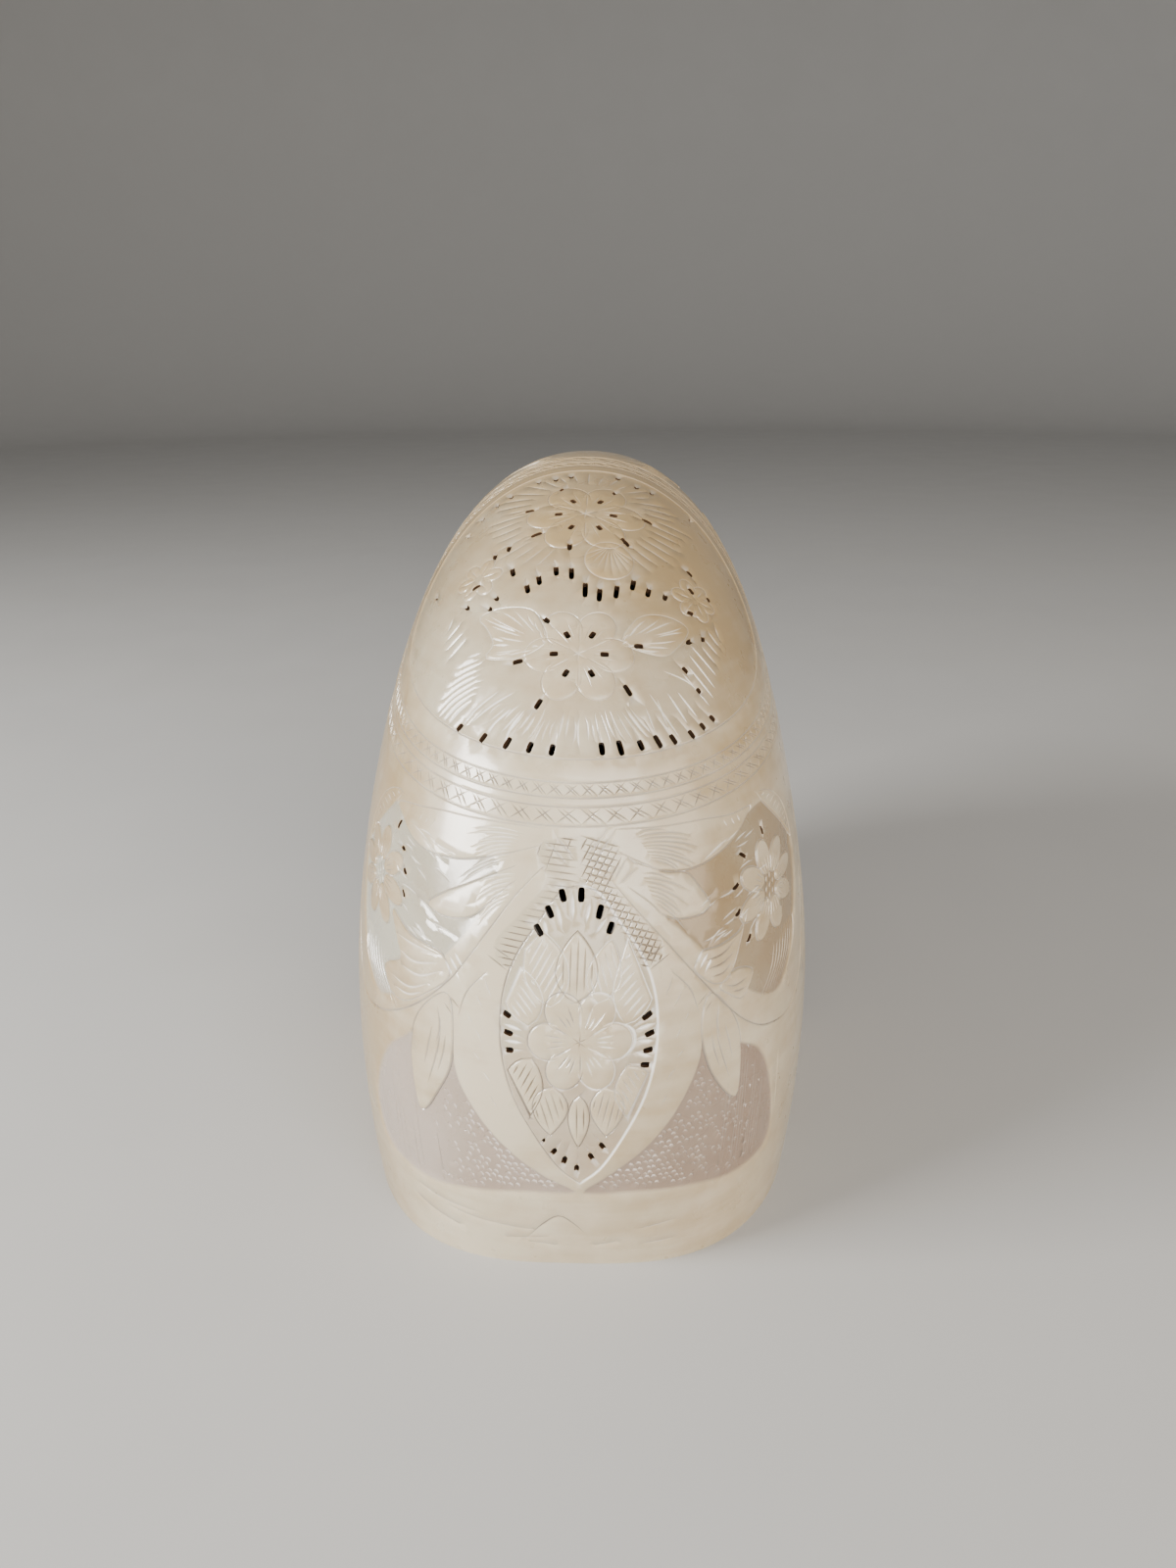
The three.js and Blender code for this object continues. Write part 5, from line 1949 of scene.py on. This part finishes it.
class NAUTILUS_OT_calluses(bpy.types.Operator):
    """Builds the two umbilical calluses."""

    bl_idname = "nautilus.calluses"
    bl_label = "Umbilical calluses"

    def execute(self, context):
        scene = context.scene
        spiral = Spiral(scene.nautilus_form)
        material = callus_material(scene.nautilus_colours)
        for hand, name in ((1, "right"), (-1, "left")):
            piece = new_object("callus_" + name, *callus(spiral, hand))
            soften(piece, CALLUS_CREASE)
            piece.data.materials.append(material)
            dress(piece, "callus_porcelain", "umbilical_callus_" + name)
        return {"FINISHED"}


class NAUTILUS_OT_stage(bpy.types.Operator):
    """Sets up the floor, the light and the camera."""

    bl_idname = "nautilus.stage"
    bl_label = "Stage"

    def execute(self, context):
        scene = context.scene
        stage = scene.nautilus_stage
        floor = studio_floor(stage)
        floor.data.shade_smooth()
        floor.data.materials.append(floor_material(scene.nautilus_colours))
        add_lights(stage)
        scene.world = room_light(stage)
        scene.camera = add_camera(stage)
        return {"FINISHED"}


class NAUTILUS_PT_pieces(bpy.types.Panel):
    """Lists the shell's pieces and settings."""

    bl_idname = "NAUTILUS_PT_pieces"
    bl_label = "Engraved nautilus"
    bl_space_type = "VIEW_3D"
    bl_region_type = "UI"
    bl_category = "Nautilus"

    def draw(self, context):
        for operator in OPERATORS:
            self.layout.operator(operator.bl_idname)
        for key in GROUPS:
            group = getattr(context.scene, key)
            box = self.layout.box()
            for setting in group.bl_rna.properties.keys():
                if setting not in ("rna_type", "name"):
                    box.prop(group, setting)


GROUPS = {
    "nautilus_form": ShellForm,
    "nautilus_carving": CarvingSizes,
    "nautilus_septa": SeptumSizes,
    "nautilus_colours": ShellColours,
    "nautilus_stage": StageSettings,
}
OPERATORS = (
    NAUTILUS_OT_carved_wall, NAUTILUS_OT_coil_walls, NAUTILUS_OT_septa, NAUTILUS_OT_calluses,
    NAUTILUS_OT_stage,
)
CLASSES = (*GROUPS.values(), *OPERATORS, NAUTILUS_PT_pieces)


def register():
    for item in CLASSES:
        bpy.utils.register_class(item)
    for key, group in GROUPS.items():
        setattr(bpy.types.Scene, key, PointerProperty(type=group))


def unregister():
    for key in GROUPS:
        delattr(bpy.types.Scene, key)
    for item in reversed(CLASSES):
        bpy.utils.unregister_class(item)


def main():
    register()
    bpy.ops.nautilus.carved_wall()
    bpy.ops.nautilus.coil_walls()
    bpy.ops.nautilus.septa()
    bpy.ops.nautilus.calluses()
    bpy.ops.nautilus.stage()


if __name__ == "__main__":
    main()
